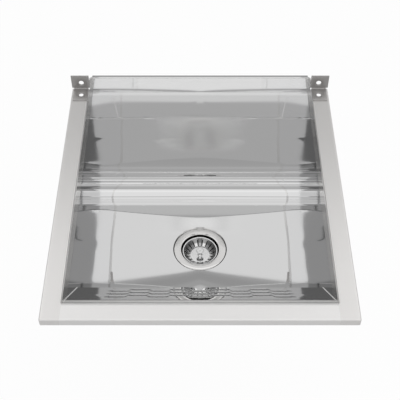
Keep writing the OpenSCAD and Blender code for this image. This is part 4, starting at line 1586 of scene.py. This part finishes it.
@dataclass
class Studio:
    """The floor, the light tent and the camera, with places in metres.

    The tent's curves give a value for each elevation in degrees, from the front horizon over the top to the
    back. Widths in it are distances to the side, as a share of the distance to the tent.

    Attributes:
        camera_tilt: Its turn from straight down, in degrees.
        panels: Brightness along the middle, in stretches of the curve that follow each other.
        edge: Half-width of that middle part, in two stretches.
        shade: Share of the brightness that is left on the flags beside it.
        flag_end: Where the flags fade out.
        cord: Where a thin dark cord hangs along each flag.
        cord_w: Half-width of the cord.
        cord_shade: Share of the brightness that the cord takes.
        wing: Brightness of the wings outside the flags.
        wing_start: Where the wings fade in.
        strip: Elevations between which the dark strip overhead lies.
        strip_bow: How far that strip bows up towards its ends, in degrees.
        bow_power: Power of the distance to the side that this bow follows.
        ends: Where the tent's open ends fade in.
        dark_ends: Share of the brightness that is left there.
    """

    floor_z: float = -0.9
    floor_half: float = 9.0
    camera_place: tuple[float, float, float] = (0.0, -1.2993, 1.1403)
    camera_tilt: float = 40.67
    lens: float = 74.76
    panels: Sequence[Curve] = (
        ((0, 0.97), (26, 0.97), (28, 0.61), (34, 0.61)),
        ((34, 0.61), (34.7, 0.62), (34.8, 0.95), (35.8, 0.95), (35.9, 0.55), (38, 0.49), (46.9, 0.49),
         (47, 0.42), (47.7, 0.44), (48.3, 0.45), (48.35, 0.635), (49.2, 0.62), (49.25, 0.42), (49.6, 0.45),
         (49.9, 0.38), (50.4, 0.38), (50.6, 0.42), (50.8, 0.45), (50.88, 0.88), (59.8, 0.88), (60.2, 1.1)),
        ((60, 1.1), (60.7, 1.1), (61.5, 0.87), (66, 0.87), (69, 0.82), (71, 0.88), (74, 0.83), (77, 0.88),
         (80, 0.8), (82.25, 0.8), (82.4, 0.52), (84.9, 0.52), (85.1, 0.8), (88, 0.88), (90, 0.8),
         (93, 0.84), (97, 0.72), (100, 0.8)),
        ((100, 0.8), (104, 0.75), (106, 0.5), (109, 0.62), (110.4, 0.65), (111, 0.51), (113, 0.56),
         (118, 0.53), (119.5, 0.5), (121, 0.65), (121.8, 0.75), (122, 1.03), (125.3, 1.03), (125.45, 0.54),
         (126.5, 0.63), (128.6, 0.5), (128.9, 0.35), (130.3, 0.36), (130.8, 0.58), (133, 0.75), (136, 0.6),
         (137.5, 0.3), (140, 0.29)))
    edge: Sequence[Curve] = (
        ((38.5, 0.1195), (39, 0.1195), (40.8, 0.1205), (41, 0.1243), (41.5, 0.1212), (42, 0.1187),
         (42.38, 0.1176), (42.5, 0.1276), (42.9, 0.1283), (44, 0.1295), (45, 0.1305), (45.9, 0.1312),
         (46.4, 0.1195), (50.75, 0.1205), (50.95, 0.1285), (51.2, 0.1283), (51.5, 0.1272), (51.9, 0.126),
         (52.4, 0.1252), (52.9, 0.1245), (53.5, 0.1233), (54.6, 0.1222), (55.2, 0.1225), (56.1, 0.1242),
         (56.6, 0.1197), (58, 0.1195)),
        ((58, 0.1195), (81.6, 0.1195), (82.3, 0.1305), (85.8, 0.1305), (86.5, 0.1195), (104, 0.1195),
         (104.6, 0.118), (105.2, 0.118), (105.8, 0.1195), (121, 0.1195), (122, 0.1268), (125.3, 0.1268),
         (125.8, 0.1195), (128, 0.1195), (129, 0.1285), (135, 0.1300)))
    shade: Curve = (
        (28, 0.77), (36, 0.75), (38, 0.28), (47.8, 0.28), (48.3, 0.53), (50.6, 0.5), (51, 0.386), (57, 0.386),
        (59, 0.8), (66, 0.75), (80, 0.73), (82.5, 0.75), (84, 0.4), (86, 0.68), (93, 0.7), (99, 0.35),
        (108, 0.35), (112, 0.5), (119, 0.6), (122, 0.55), (123, 0.37), (125, 0.37), (127, 0.5), (135, 0.5))
    flag_end: Side = (0.18, 0.21)
    cord: Curve = (
        (38, 0.19), (46.3, 0.19), (46.5, 0.1365), (48.4, 0.1375), (50, 0.1415), (50.7, 0.1436), (50.9, 0.19),
        (55.6, 0.19), (55.7, 0.1428), (56.2, 0.147), (56.6, 0.149), (57, 0.1415))
    cord_w: float = 0.0012
    cord_shade: float = 0.8
    wing: Curve = (
        (0, 0.90), (60, 0.90), (90, 0.85), (112, 0.90), (117, 1.30), (128, 1.30), (136, 0.80), (150, 0.50),
        (180, 0.50))
    wing_start: Side = (0.19, 0.23)
    strip: Side = (78.0, 88.0)
    strip_bow: float = 6.5
    bow_power: float = 0.55
    ends: Side = (0.5, 0.75)
    dark_ends: float = 0.25

    def world(self) -> None:
        """Builds the tent's light, which the camera sees as plain white."""
        world = bpy.data.worlds.new("light_tent")
        bpy.context.scene.world = world
        sheet = sheet_of(world)
        x, y, z = sheet.parts(sheet.wire(sheet.node("ShaderNodeTexCoord"), "Generated"))
        turn = sheet.sum("ARCTAN2", z, y * -1) * (180 / math.pi)
        turn = turn + (turn < 0.0) * 360
        side = x.math("ABSOLUTE")
        in_strip = (turn > self.strip[0]) * (turn < self.strip[1])
        bowed = turn - in_strip * (side ** self.bow_power * self.strip_bow)
        light = sheet.curve(turn, self.panels[0])
        for panel in self.panels[1:]:
            light = light + (sheet.curve(bowed, panel) - light) * (turn > panel[0][0])
        edge = sheet.curve(turn, self.edge[0])
        edge = edge + (sheet.curve(turn, self.edge[1]) - edge) * (turn > self.edge[1][0][0])
        flag = (side > edge) * (1 - side.eased(*self.flag_end))
        light = light * (1 - flag * (1 - sheet.curve(turn, self.shade)))
        cord = (side - sheet.curve(turn, self.cord)).math("ABSOLUTE") < self.cord_w
        light = light * (1 - cord * self.cord_shade)
        light = light + (sheet.curve(turn, self.wing) - light) * side.eased(*self.wing_start)
        light = light * (1 - side.eased(*self.ends) * (1 - self.dark_ends))
        power = light + (1 - light) * sheet.ray("Camera").most(sheet.ray("Transmission"))
        glow = sheet.node("ShaderNodeBackground", None, {"Color": (1, 1, 1, 1), "Strength": power})
        sheet.node("ShaderNodeOutputWorld", None, {"Surface": sheet.wire(glow)})

    def floor(self) -> None:
        """Builds the pale floor, which keeps a faint shadow."""
        half, pale, clear = self.floor_half, 0.94, 0.95
        mesh = bpy.data.meshes.new("studio_floor")
        corners = border((-half, half), (-half, half))
        mesh.from_pydata([(x, y, self.floor_z) for x, y in corners], [], [(0, 1, 2, 3)])
        made = bpy.data.materials.new("pale_floor")
        sheet = sheet_of(made)
        glossy = sheet.ray("Glossy")
        seen = sheet.ray("Camera").most(sheet.ray("Transmission")).most(glossy)
        matt = sheet.node("ShaderNodeBsdfDiffuse", None, {"Color": (pale, pale, pale, 1)})
        glow = sheet.node("ShaderNodeEmission", None, {"Color": (1, 1, 1, 1), "Strength": 1.0 - glossy * 0.5})
        mixed = sheet.node("ShaderNodeMixShader", None,
                           {0: seen * clear, 1: sheet.wire(matt), 2: sheet.wire(glow)})
        sheet.node("ShaderNodeOutputMaterial", None, {"Surface": sheet.wire(mixed)})
        mesh.materials.append(made)
        placed("studio_floor", mesh)

    def lamp(self) -> None:
        """Hangs a soft lamp over the tub for the matt parts and the floor's shadow."""
        data = bpy.data.lights.new("soft_lamp", "AREA")
        data.shape, data.size, data.energy = "DISK", 1.6, 18
        lamp = placed("soft_lamp", data)
        lamp.location = (0.3, -0.8, 2.2)
        lamp.rotation_euler = (math.radians(-12), math.radians(8), 0)
        lamp.visible_glossy = False

    def camera(self) -> None:
        """Sets up the camera at the photograph's view."""
        data = bpy.data.cameras.new("camera")
        data.lens, data.sensor_width = self.lens, 36
        data.clip_start, data.clip_end = 0.05, 60
        camera = placed("camera", data)
        camera.location = self.camera_place
        camera.rotation_euler = (math.radians(self.camera_tilt), 0, 0)
        bpy.context.scene.camera = camera
        bpy.context.scene.view_settings.view_transform = "Standard"

    def build(self) -> None:
        """Builds the studio."""
        self.camera()
        self.world()
        self.floor()
        self.lamp()


def main() -> None:
    """Builds the studio and every part of the tub."""
    logging.basicConfig(level=logging.INFO, format="%(name)s %(message)s")
    Studio().build()
    bowl = Bowl()
    bowl.build()
    parts = [*[SidePanel(side, bowl) for side in SIDES], *[SideRim(side) for side in SIDES], FrontRim(),
             *[Bracket(side) for side in SIDES], Waste(), Basket()]
    for part in parts:
        part.build()


if __name__ == "__main__":
    main()
